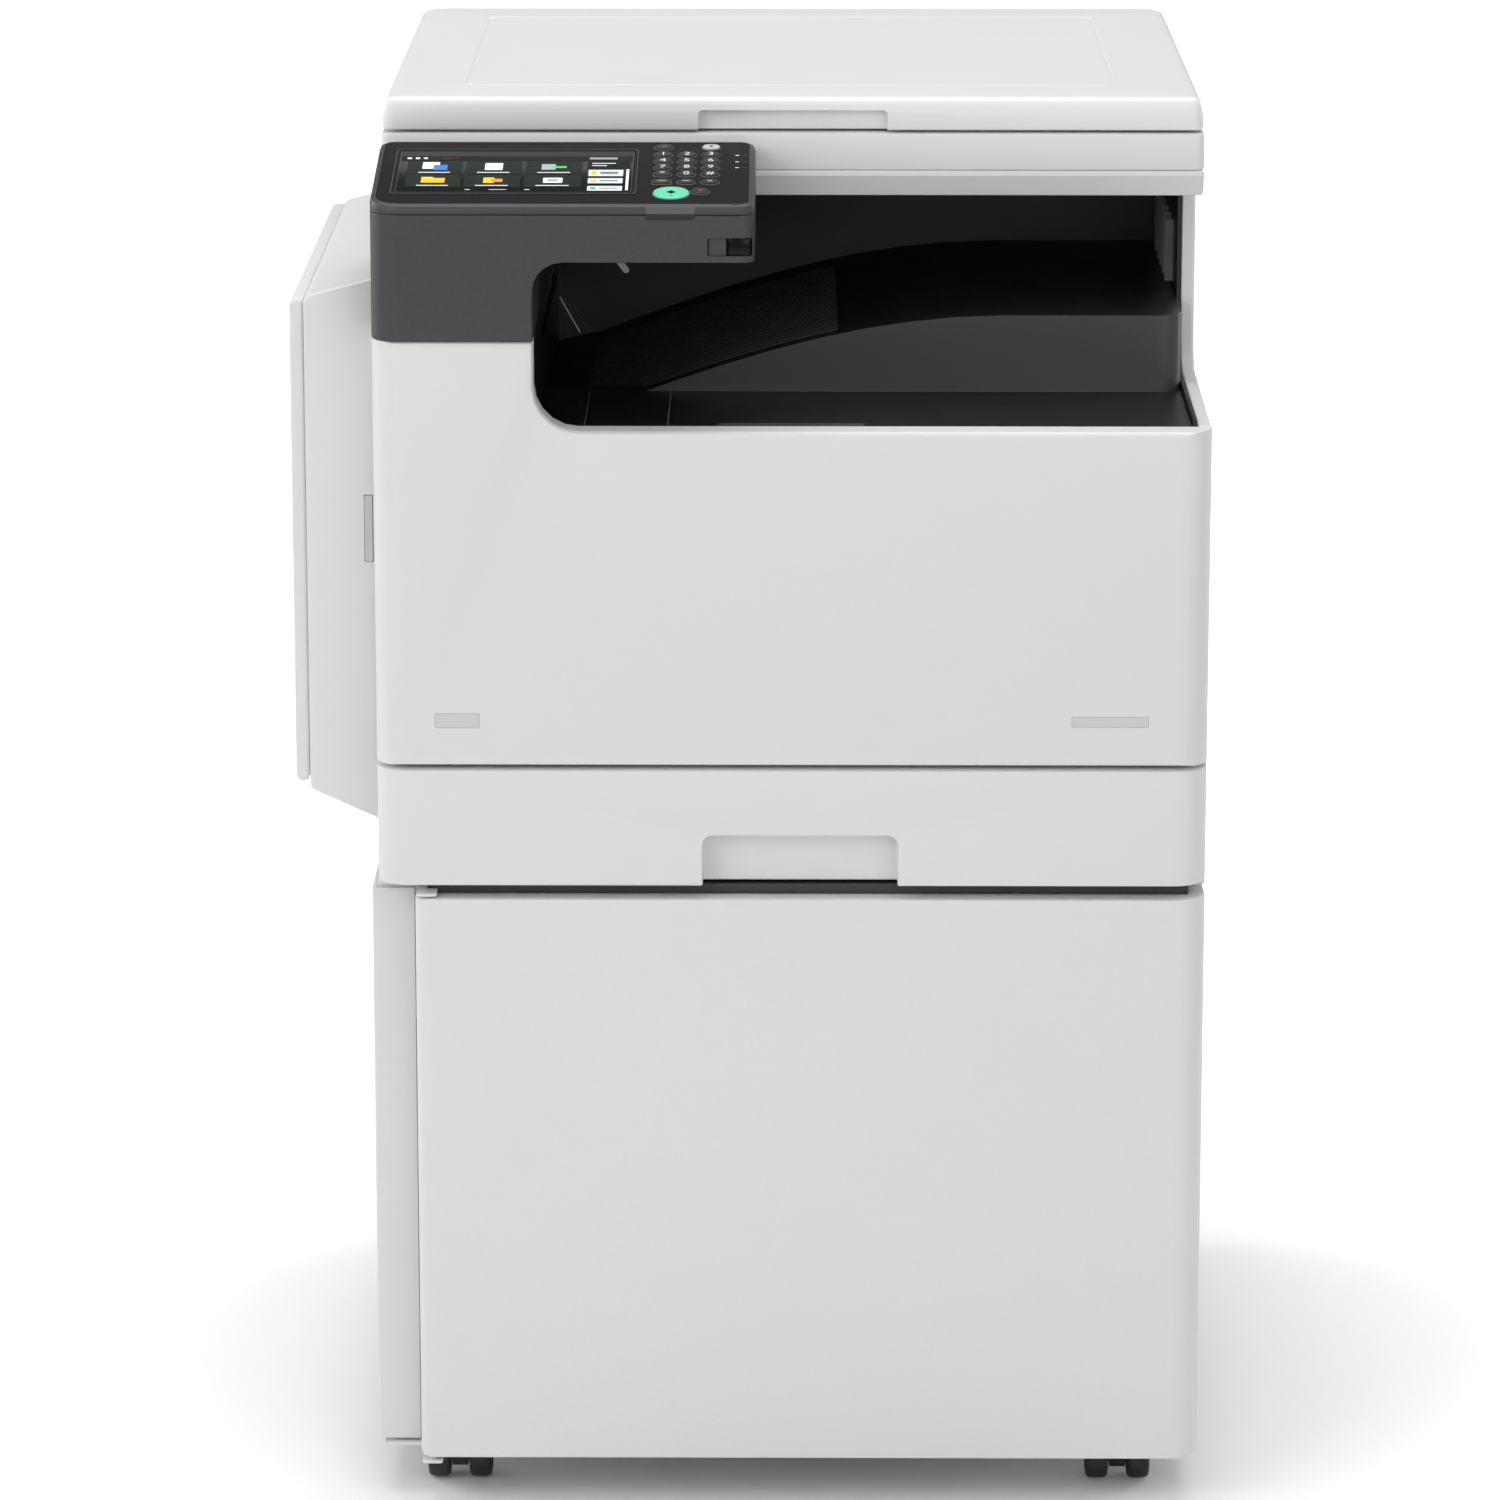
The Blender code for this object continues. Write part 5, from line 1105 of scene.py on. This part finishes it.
def screw_tree(finish):
    """Cross-head screws, one standing on each point of the base mesh."""
    inputs = {"Radius": ("Float", 0.0036), "Height": ("Float", 0.0014), "Turn": ("Rotation", (0, 0, 0))}
    tree, source = make_tree(f"Screws in {finish}", inputs)
    radius = source.outputs["Radius"]
    height = source.outputs["Height"]
    head = add(tree, "GeometryNodeMeshCone", {"Vertices": 20, "Radius Bottom": radius, "Depth": height})
    crown, long, narrow = [
        add(tree, "ShaderNodeMath", {0: radius, 1: share}, operation="MULTIPLY").outputs[0]
        for share in (CROWN_SHARE, SLOT_LONG, SLOT_NARROW)
    ]
    tree.links.new(crown, head.inputs["Radius Top"])
    slots = []
    for across in ((long, narrow), (narrow, long)):
        size = add(tree, "ShaderNodeCombineXYZ", {"X": across[0], "Y": across[1], "Z": height}).outputs[0]
        slot = add(tree, "GeometryNodeMeshCube", {"Size": size}).outputs[0]
        lifted = add(tree, "ShaderNodeCombineXYZ", {"Z": height}).outputs[0]
        moved = {"Geometry": slot, "Translation": lifted}
        slots.append(add(tree, "GeometryNodeTransform", moved).outputs[0])
    cutting = add(tree, "GeometryNodeMeshBoolean", {"Mesh 1": head.outputs[0]}, operation="DIFFERENCE")
    for slot in slots:
        tree.links.new(slot, cutting.inputs["Mesh 2"])
    places = add(tree, "GeometryNodeMeshToPoints", {"Mesh": source.outputs["Geometry"]}).outputs[0]
    stand = {"Points": places, "Instance": cutting.outputs[0], "Rotation": source.outputs["Turn"]}
    laid = add(tree, "GeometryNodeInstanceOnPoints", stand)
    return end_tree(tree, laid.outputs[0], finish)


def grow(name, tree, points, edges, inputs, body, slot):
    """Runs a geometry tree on a base of points and edges, and keeps the result as a plain piece."""
    mesh = bpy.data.meshes.new(name)
    mesh.from_pydata([tuple(p) for p in points], edges, [])
    made = placed(name, mesh)
    modifier = made.modifiers.new("Detail", "NODES")
    modifier.node_group = tree
    for item in tree.interface.items_tree:
        if item.in_out == "INPUT" and item.name in inputs:
            modifier[item.identifier] = inputs[item.name]
    graph = bpy.context.evaluated_depsgraph_get()
    result = bpy.data.meshes.new_from_object(made.evaluated_get(graph))
    result.name = name
    made.modifiers.clear()
    made.data = result
    result.shade_smooth()
    result.set_sharp_from_angle(angle=SOFT_ANGLE)
    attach(made, body)
    return made


# Sheet cavity

PAINTED_SHADE_UPWARD = 0.5
TRAY_START = 0.0137
TRAY_RUN = 0.310
TRAY_LIFT = 0.0015
RIB_HEIGHT = 0.0009
RIB_STEPS = 26
RIB_SPAN = (0.006, 0.205)
RIB_FIRST = 0.018
LEDGE_LENGTH = 0.1266
LOUVRE_LOW = 0.0030
LOUVRE_TALL = 0.0440
LOUVRE_THICK = 0.0016
LOUVRE_FIRST = 0.135
LOUVRE_HEADROOM = 0.003
LEVERS = (("paper_full_lever", "pale", (0.0,)), ("exit_levers", "tray", (0.0035, 0.007)))
LEVER_DEPTH = 0.232
LEVER_FOOT = (0.0229, 0.0459)
LEVER_TOP = (0.0089, 0.0704)
LEVER_WIDTH = 0.0010
LEVER_THICK = 0.0035
FLAG_DEPTH = 0.042
FLAG_TOP = (0.0470, 0.1405)
FLAG_TIP = (0.0608, 0.1228)
FLAG_WIDTH = 0.0042
FLAG_THICK = 0.0045
LEDGE_EDGE = 0.004
LEDGE_SEAMS = (0.0330, 0.0892)
SEAM_WIDTH = 0.0005
SEAM_RISE = 0.00012


class COPIER_OT_cavity(bpy.types.Operator):
    """Builds the sheet cavity: liner, ribbed tray, louvres, levers and ledge seams"""

    bl_idname = "copier.cavity"
    bl_label = "Sheet cavity"

    def execute(self, context):
        soften("inner_cover", "black", sizes().fine_edge)
        tray = soften("output_tray", "tray", sizes().fine_edge)
        low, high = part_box("output_tray")
        # The tray's upward faces take the liner's black: painted shade under the cavity's roof.
        tray.data.materials.append(finish_of("black"))
        for polygon in tray.data.polygons:
            if polygon.normal.z > PAINTED_SHADE_UPWARD:
                polygon.material_index = 1
        self.ribs(low, high)
        self.louvres(high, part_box("inner_cover")[1])
        self.levers(low)
        return {"FINISHED"}

    def height(self, low, high, x):
        """Height of the tray's face at x."""
        along = min(max((x - low.x - TRAY_START) / TRAY_RUN, 0), 1)
        foot = low.z + TRAY_LIFT
        return foot + (high.z - foot) * math.sin(along * math.pi / 2)

    def ribs(self, low, high):
        first = low.y + LEDGE_LENGTH + RIB_FIRST
        start, end = RIB_SPAN
        xs = [low.x + start + (end - start) * step / RIB_STEPS for step in range(RIB_STEPS + 1)]
        points = [Vector((x, first, self.height(low, high, x) + RIB_HEIGHT * 0.2)) for x in xs]
        inputs = {
            "Width": sizes().rib_width,
            "Height": RIB_HEIGHT,
            "Edge": sizes().fine_edge * 0.6,
            "Count": sizes().rib_count,
            "Pitch": (0.0, sizes().rib_pitch, 0.0),
        }
        links = [(step, step + 1) for step in range(RIB_STEPS)]
        grow("tray_ribs", rail_tree("tray"), points, links, inputs, "base", "charcoal")

    def louvres(self, tray_high, liner_high):
        """Pale upright slats on the cavity's right wall, above the tray."""
        wall = tray_high.x + GAP_SEEN
        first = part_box("scanner_base")[0].y + LOUVRE_FIRST
        foot = tray_high.z + LOUVRE_LOW
        top = min(foot + LOUVRE_TALL, liner_high.z - LOUVRE_HEADROOM)
        x = wall - LOUVRE_THICK / 2
        inputs = {
            "Width": sizes().louvre_width,
            "Height": LOUVRE_THICK,
            "Edge": sizes().fine_edge,
            "Count": sizes().louvre_count,
            "Pitch": (0.0, sizes().louvre_pitch, 0.0),
        }
        points = [Vector((x, first, foot)), Vector((x, first, top))]
        grow("wall_louvres", rail_tree("grey"), points, [(0, 1)], inputs, "base", "shell")

    def levers(self, low):
        """Paper-full levers by the exit, the small sensor flag under the panel and the ledge's seams."""
        y = low.y + LEVER_DEPTH
        for name, finish, shifts in LEVERS:
            lever = bmesh.new()
            for shift in shifts:
                foot = (low.x + LEVER_FOOT[0] + shift, low.z + LEVER_FOOT[1])
                top = (low.x + LEVER_TOP[0] + shift, low.z + LEVER_TOP[1])
                bar(lever, foot, top, LEVER_WIDTH, (y, y + LEVER_THICK))
            show(name, lever, finish, "base")
        flag = bmesh.new()
        flag_y = low.y + FLAG_DEPTH
        top = (low.x + FLAG_TOP[0], low.z + FLAG_TOP[1])
        tip = (low.x + FLAG_TIP[0], low.z + FLAG_TIP[1])
        bar(flag, tip, top, FLAG_WIDTH, (flag_y, flag_y + FLAG_THICK))
        show("sensor_flag", flag, "grey", "base")
        seams = bmesh.new()
        points = [v.co for v in frame["nodes"]["output_tray"].data.vertices]
        ledge = max(p.z for p in points if p.y < low.y + LEDGE_EDGE)
        seam_y = (low.y + LEDGE_EDGE, low.y + LEDGE_LENGTH)
        seam_z = (ledge - SEAM_WIDTH, ledge + SEAM_RISE)
        for left in LEDGE_SEAMS:
            add_block(seams, (low.x + left, low.x + left + SEAM_WIDTH), seam_y, seam_z)
        show("ledge_seams", seams, "grey", "base")


# Drawer, strips, brackets and fixings

STRIP_SUNK = 0.016
STRIP_GAP = 0.0006
STRIP_ENDS = (0.024, 0.002)
STRIP_RADIUS = 0.001
PLATE_FROM_RIGHT = 0.0420
PLATE_WIDTH = 0.036
PLATE_DROPS = (0.0042, 0.0022)
PLATE_DEPTHS = (0.024, 0.040)
PLATE_RADIUS = 0.001
STAY_ENDS = (0.006, 0.030)
STAY_DEPTHS = (0.0412, 0.0435)
STAY_RADIUS = 0.0008
STAY_GAP = 0.0002
BRIDGE_DEPTHS = (0.0395, 0.0415)


class COPIER_OT_drawer(bpy.types.Operator):
    """Finishes the drawer, the dark strip under it and the caster stop plate"""

    bl_idname = "copier.drawer"
    bl_label = "Drawer and strips"

    def execute(self, context):
        paint("cassette", "tray")
        paint("lift_plate", "zinc")
        front_low, front_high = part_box("cassette_front")
        door_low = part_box("pedestal_door")[0]
        chassis_low, chassis_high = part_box("chassis")
        # A dark strip fills the gap between the pedestal's door and the drawer: painted shade where that gap is in
        # shadow.
        strip_x = (chassis_low.x + STRIP_ENDS[0], chassis_high.x - STRIP_ENDS[1])
        strip_y = (front_low.y + STRIP_SUNK, chassis_low.y - GAP_SEEN)
        drawer_foot = min(front_low.z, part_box("cassette")[0].z)
        strip = block(strip_x, strip_y, (chassis_low.z, drawer_foot - STRIP_GAP), STRIP_RADIUS, "X")
        show("base_strip", strip, "charcoal", "base")
        plate_x = front_high.x - PLATE_FROM_RIGHT
        plate_z = [door_low.z - drop for drop in PLATE_DROPS]
        plate_y, stay_y, bridge_y = [
            [door_low.y + depth for depth in depths] for depths in (PLATE_DEPTHS, STAY_DEPTHS, BRIDGE_DEPTHS)
        ]
        bracket = block((plate_x, plate_x + PLATE_WIDTH), plate_y, plate_z, PLATE_RADIUS)
        stay_x = [plate_x + end for end in STAY_ENDS]
        add_block(bracket, stay_x, stay_y, (plate_z[0], door_low.z - STAY_GAP), STAY_RADIUS)
        add_block(bracket, stay_x, bridge_y, plate_z)
        show("caster_stop_plate", bracket, "cabinet", "base")
        return {"FINISHED"}


def paint(node, finish):
    """Gives a CAD node that stays in view its procedural material."""
    carried = frame["nodes"][node]
    carried.data.materials.clear()
    carried.data.materials.append(finish_of(finish))


WHEEL_TYRE = 0.0158
AXLE = 0.003

# A tyre's shoulder and rim, as (from its side, below its tread).
SHOULDER = ((0.0, 0.0040), (0.0006, 0.0016), (0.0020, 0.0003), (0.0036, 0.0))
RIM = ((0.0, 0.0052), (0.0012, 0.0058))

# The dished hub, as (from the tyre's side, share of the wheel's radius).
HUB = ((0.0012, 0.40), (0.0002, 0.34), (0.0002, 0.05))


class COPIER_OT_casters(bpy.types.Operator):
    """Builds the caster hoods and their twin wheels with hubs and treads"""

    bl_idname = "copier.casters"
    bl_label = "Casters"

    def execute(self, context):
        for corner in ("front_left", "front_right", "rear_left", "rear_right"):
            soften(f"caster_housing_{corner}", "nylon", sizes().fine_edge)
            self.wheels(corner)
        return {"FINISHED"}

    def wheels(self, corner):
        """Twin wheels on one axle: rounded tyre, step to the hub, dished hub and axle cap."""
        node = f"caster_wheels_{corner}"
        low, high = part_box(node)
        centre = (low + high) / 2
        radius = (high.z - low.z) / 2
        outside = (high.x - low.x) / 2
        inside = outside - WHEEL_TYRE
        half = [(inside, AXLE)]
        half += [(inside + along, radius - down) for along, down in SHOULDER]
        half += [(outside - along, radius - down) for along, down in (*reversed(SHOULDER), *RIM)]
        half += [(outside - along, radius * share) for along, share in HUB]
        profile = [(centre.x - h, r) for h, r in reversed(half)]
        profile += [(centre.x + h, r) for h, r in half]
        shape = turned(bmesh.new(), profile, centre.y, centre.z, "X", 48)
        wheels = show(f"{node}_tyres", shape, "tyre", f"wheels_{corner}")
        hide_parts(node)


SCREW_SUNK = 0.0006
SCREW_HEIGHT = 0.0008
SCREW_FROM_TOP = 0.018
SCREW_FROM_SIDE = 0.02
SIDE_SCREW_FROM_REAR = 0.012
SIDE_SCREW_FROM_FRONT = 0.30
SIDE_SCREW_UP = 0.016


class COPIER_OT_fixings(bpy.types.Operator):
    """Places the screws of the rear and side covers"""

    bl_idname = "copier.fixings"
    bl_label = "Screws"

    def execute(self, context):
        low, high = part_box("rear_cover")
        middle = (low.x + high.x) / 2
        rows = (low.z + SCREW_FROM_TOP, (low.z + high.z) / 2, high.z - SCREW_FROM_TOP)
        columns = (low.x + SCREW_FROM_SIDE, high.x - SCREW_FROM_SIDE)
        rear = [Vector((x, high.y - SCREW_SUNK, z)) for z in rows for x in columns]
        rear += [Vector((middle, high.y - SCREW_SUNK, z)) for z in (rows[0], rows[2])]
        tree = screw_tree("zinc")
        inputs = {"Radius": sizes().screw_radius, "Height": SCREW_HEIGHT, "Turn": (-math.pi / 2, 0.0, 0.0)}
        grow("rear_screws", tree, rear, [], inputs, "base", "steel")
        side_low, side_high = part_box("right_cover")
        side_x = side_high.x - SCREW_SUNK
        side = [Vector((side_x, side_high.y - SIDE_SCREW_FROM_REAR, z)) for z in (rows[0], rows[2])]
        side += [Vector((side_x, side_low.y + SIDE_SCREW_FROM_FRONT, side_low.z + SIDE_SCREW_UP))]
        inputs = {"Radius": sizes().screw_radius, "Height": SCREW_HEIGHT, "Turn": (0.0, math.pi / 2, 0.0)}
        grow("side_screws", tree, side, [], inputs, "base", "steel")
        return {"FINISHED"}


INNER_FINISHES = {
    "chassis": "zinc",
    "power_inlet": "black",
    "scan_carriage": "black",
    "main_motor": "steel",
    "drum": "drum",
    "toner_bottle": "black",
    "fuser_roller": "steel",
    "pressure_roller": "silicone",
    "exit_roller": "silicone",
    "platen_glass": "glass",
}


class COPIER_OT_inside(bpy.types.Operator):
    """Finishes the frame, rollers and other pieces seen when a cover is open"""

    bl_idname = "copier.inside"
    bl_label = "Inner pieces"

    def execute(self, context):
        for node, finish in INNER_FINISHES.items():
            paint(node, finish)
        return {"FINISHED"}


# Stage

FLOOR_SIZE = 60.0
FLOOR_DEPTH = -0.0005

# The floor glows for the camera alone, more with distance, so it fades into the surroundings unseen.
FLOOR_NEAR = 0.2
FLOOR_FAR = 1.3
FLOOR_GLOW = 0.9

# The surroundings are white to the camera; as light they dim towards the rear, which keeps dark faces dark.
WORLD_STRENGTH = 0.4
WORLD_REAR = 0.1
WORLD_TURN = (0.3, 0.7)
CAMERA_PLACE = (0.0295, -4.5175, 1.593)
CAMERA_AIM = (0.0011, -0.3175, 0.6517)
CAMERA_SHIFT = -0.10
LENS = 153.08
SENSOR = 36.0
NEAREST_SEEN = 0.05
WHITE = (1, 1, 1, 1)

# Softboxes: name, place, width, height, power and the point each faces.
SOFTBOXES = (
    ("key_softbox", (-2.6, -3.0, 2.6), 2.4, 2.4, 50.0, (0.0, 0.0, 0.5)),
    ("fill_softbox", (1.6, -3.4, 2.0), 2.4, 2.4, 21.0, (0.0, 0.0, 0.5)),
    ("rear_left_softbox", (-3.4, 1.6, 1.6), 1.8, 1.8, 46.0, (0.0, 0.0, 0.5)),
    ("rear_right_softbox", (3.2, 2.6, 1.6), 1.8, 1.8, 40.0, (0.0, 0.0, 0.5)),
    ("top_softbox", (0.0, 0.1, 3.6), 3.0, 3.0, 66.0, (0.0, 0.0, 0.4)),
)


class COPIER_OT_stage(bpy.types.Operator):
    """Sets the pale floor, the soft lights, the white surroundings and the camera"""

    bl_idname = "copier.stage"
    bl_label = "Stage"

    def execute(self, context):
        scene = bpy.context.scene
        floor_material, tree, shader, place = start_material("Pale matt floor")
        cloud = add(tree, "ShaderNodeTexNoise", {"Vector": place, "Scale": 1.5, "Detail": 2.0})
        socket = shader.inputs["Base Color"]
        blended(tree, cloud.outputs["Fac"], linear("#fbfbfb"), linear("#f8f8f8"), socket)
        tune(shader, {"Roughness": 0.85, "Emission Color": WHITE})
        reach = add(tree, "ShaderNodeVectorMath", {0: place}, operation="LENGTH").outputs["Value"]
        span = {"Value": reach, "From Min": FLOOR_NEAR, "From Max": FLOOR_FAR, "To Max": FLOOR_GLOW}
        glow = add(tree, "ShaderNodeMapRange", span, interpolation_type="SMOOTHSTEP").outputs["Result"]
        seen = add(tree, "ShaderNodeLightPath").outputs["Is Camera Ray"]
        glow = add(tree, "ShaderNodeMath", {0: glow, 1: seen}, operation="MULTIPLY").outputs[0]
        tree.links.new(glow, shader.inputs["Emission Strength"])
        mesh = bpy.data.meshes.new("floor")
        half = FLOOR_SIZE / 2
        corners = [(u, v, FLOOR_DEPTH) for u, v, _ in rectangle(-half, half, -half, half)]
        mesh.from_pydata(corners, [], [(0, 1, 2, 3)])
        mesh.materials.append(floor_material)
        floor = placed("floor", mesh)
        world = bpy.data.worlds.new("White surroundings")
        world.use_nodes = True
        tree = world.node_tree
        background = tree.nodes["Background"]
        tune(background, {"Color": WHITE})
        heading = add(tree, "ShaderNodeTexCoord").outputs["Generated"]
        rearward = add(tree, "ShaderNodeSeparateXYZ", {0: heading}).outputs["Y"]
        start, end = WORLD_TURN
        span = {"Value": rearward, "From Min": start, "From Max": end}
        span.update({"To Min": WORLD_STRENGTH, "To Max": WORLD_REAR})
        dimmed = add(tree, "ShaderNodeMapRange", span, interpolation_type="SMOOTHSTEP").outputs["Result"]
        seen = add(tree, "ShaderNodeLightPath").outputs["Is Camera Ray"]
        share = add(tree, "ShaderNodeMath", {0: dimmed, 1: seen}, operation="MAXIMUM").outputs[0]
        tree.links.new(share, background.inputs["Strength"])
        scene.world = world
        scene.view_settings.view_transform = "Standard"
        for name, spot, width, height, power, target in SOFTBOXES:
            lamp = bpy.data.lights.new(name, "AREA")
            lamp.shape = "RECTANGLE"
            lamp.size = width
            lamp.size_y = height
            lamp.energy = power
            self.aim(placed(name, lamp), spot, target)
        lens = bpy.data.cameras.new("camera")
        lens.lens = LENS
        lens.sensor_width = SENSOR
        lens.shift_y = CAMERA_SHIFT
        lens.clip_start = NEAREST_SEEN
        scene.camera = placed("camera", lens)
        self.aim(scene.camera, CAMERA_PLACE, CAMERA_AIM)
        return {"FINISHED"}

    def aim(self, made, place, target):
        """Puts a lamp or the camera at a place and turns it to a point."""
        made.location = place
        heading = Vector(target) - Vector(place)
        made.rotation_euler = heading.to_track_quat("-Z", "Y").to_euler()



OPERATORS = (
    COPIER_OT_covers,
    COPIER_OT_lid,
    COPIER_OT_panel,
    COPIER_OT_display,
    COPIER_OT_keys,
    COPIER_OT_cavity,
    COPIER_OT_drawer,
    COPIER_OT_casters,
    COPIER_OT_fixings,
    COPIER_OT_inside,
    COPIER_OT_stage,
)


class COPIER_PT_panel(bpy.types.Panel):
    """Lists the copier's settings and the steps that build its looks"""

    bl_idname = "COPIER_PT_panel"
    bl_label = "Office photocopier"
    bl_space_type = "VIEW_3D"
    bl_region_type = "UI"
    bl_category = "Copier"

    def draw(self, context):
        for group in (context.scene.copier_sizes, context.scene.copier_colours):
            box = self.layout.box()
            for name in group.__annotations__:
                box.prop(group, name)
        for operator in OPERATORS:
            self.layout.operator(operator.bl_idname)


CLASSES = (CopierColours, CopierSizes, *OPERATORS, COPIER_PT_panel)


def register():
    for cls in CLASSES:
        bpy.utils.register_class(cls)
    bpy.types.Scene.copier_colours = bpy.props.PointerProperty(type=CopierColours)
    bpy.types.Scene.copier_sizes = bpy.props.PointerProperty(type=CopierSizes)


def unregister():
    del bpy.types.Scene.copier_sizes
    del bpy.types.Scene.copier_colours
    for cls in reversed(CLASSES):
        bpy.utils.unregister_class(cls)


def main():
    register()
    for operator in OPERATORS:
        group, name = operator.bl_idname.split(".")
        getattr(getattr(bpy.ops, group), name)()


if __name__ == "__main__":
    main()
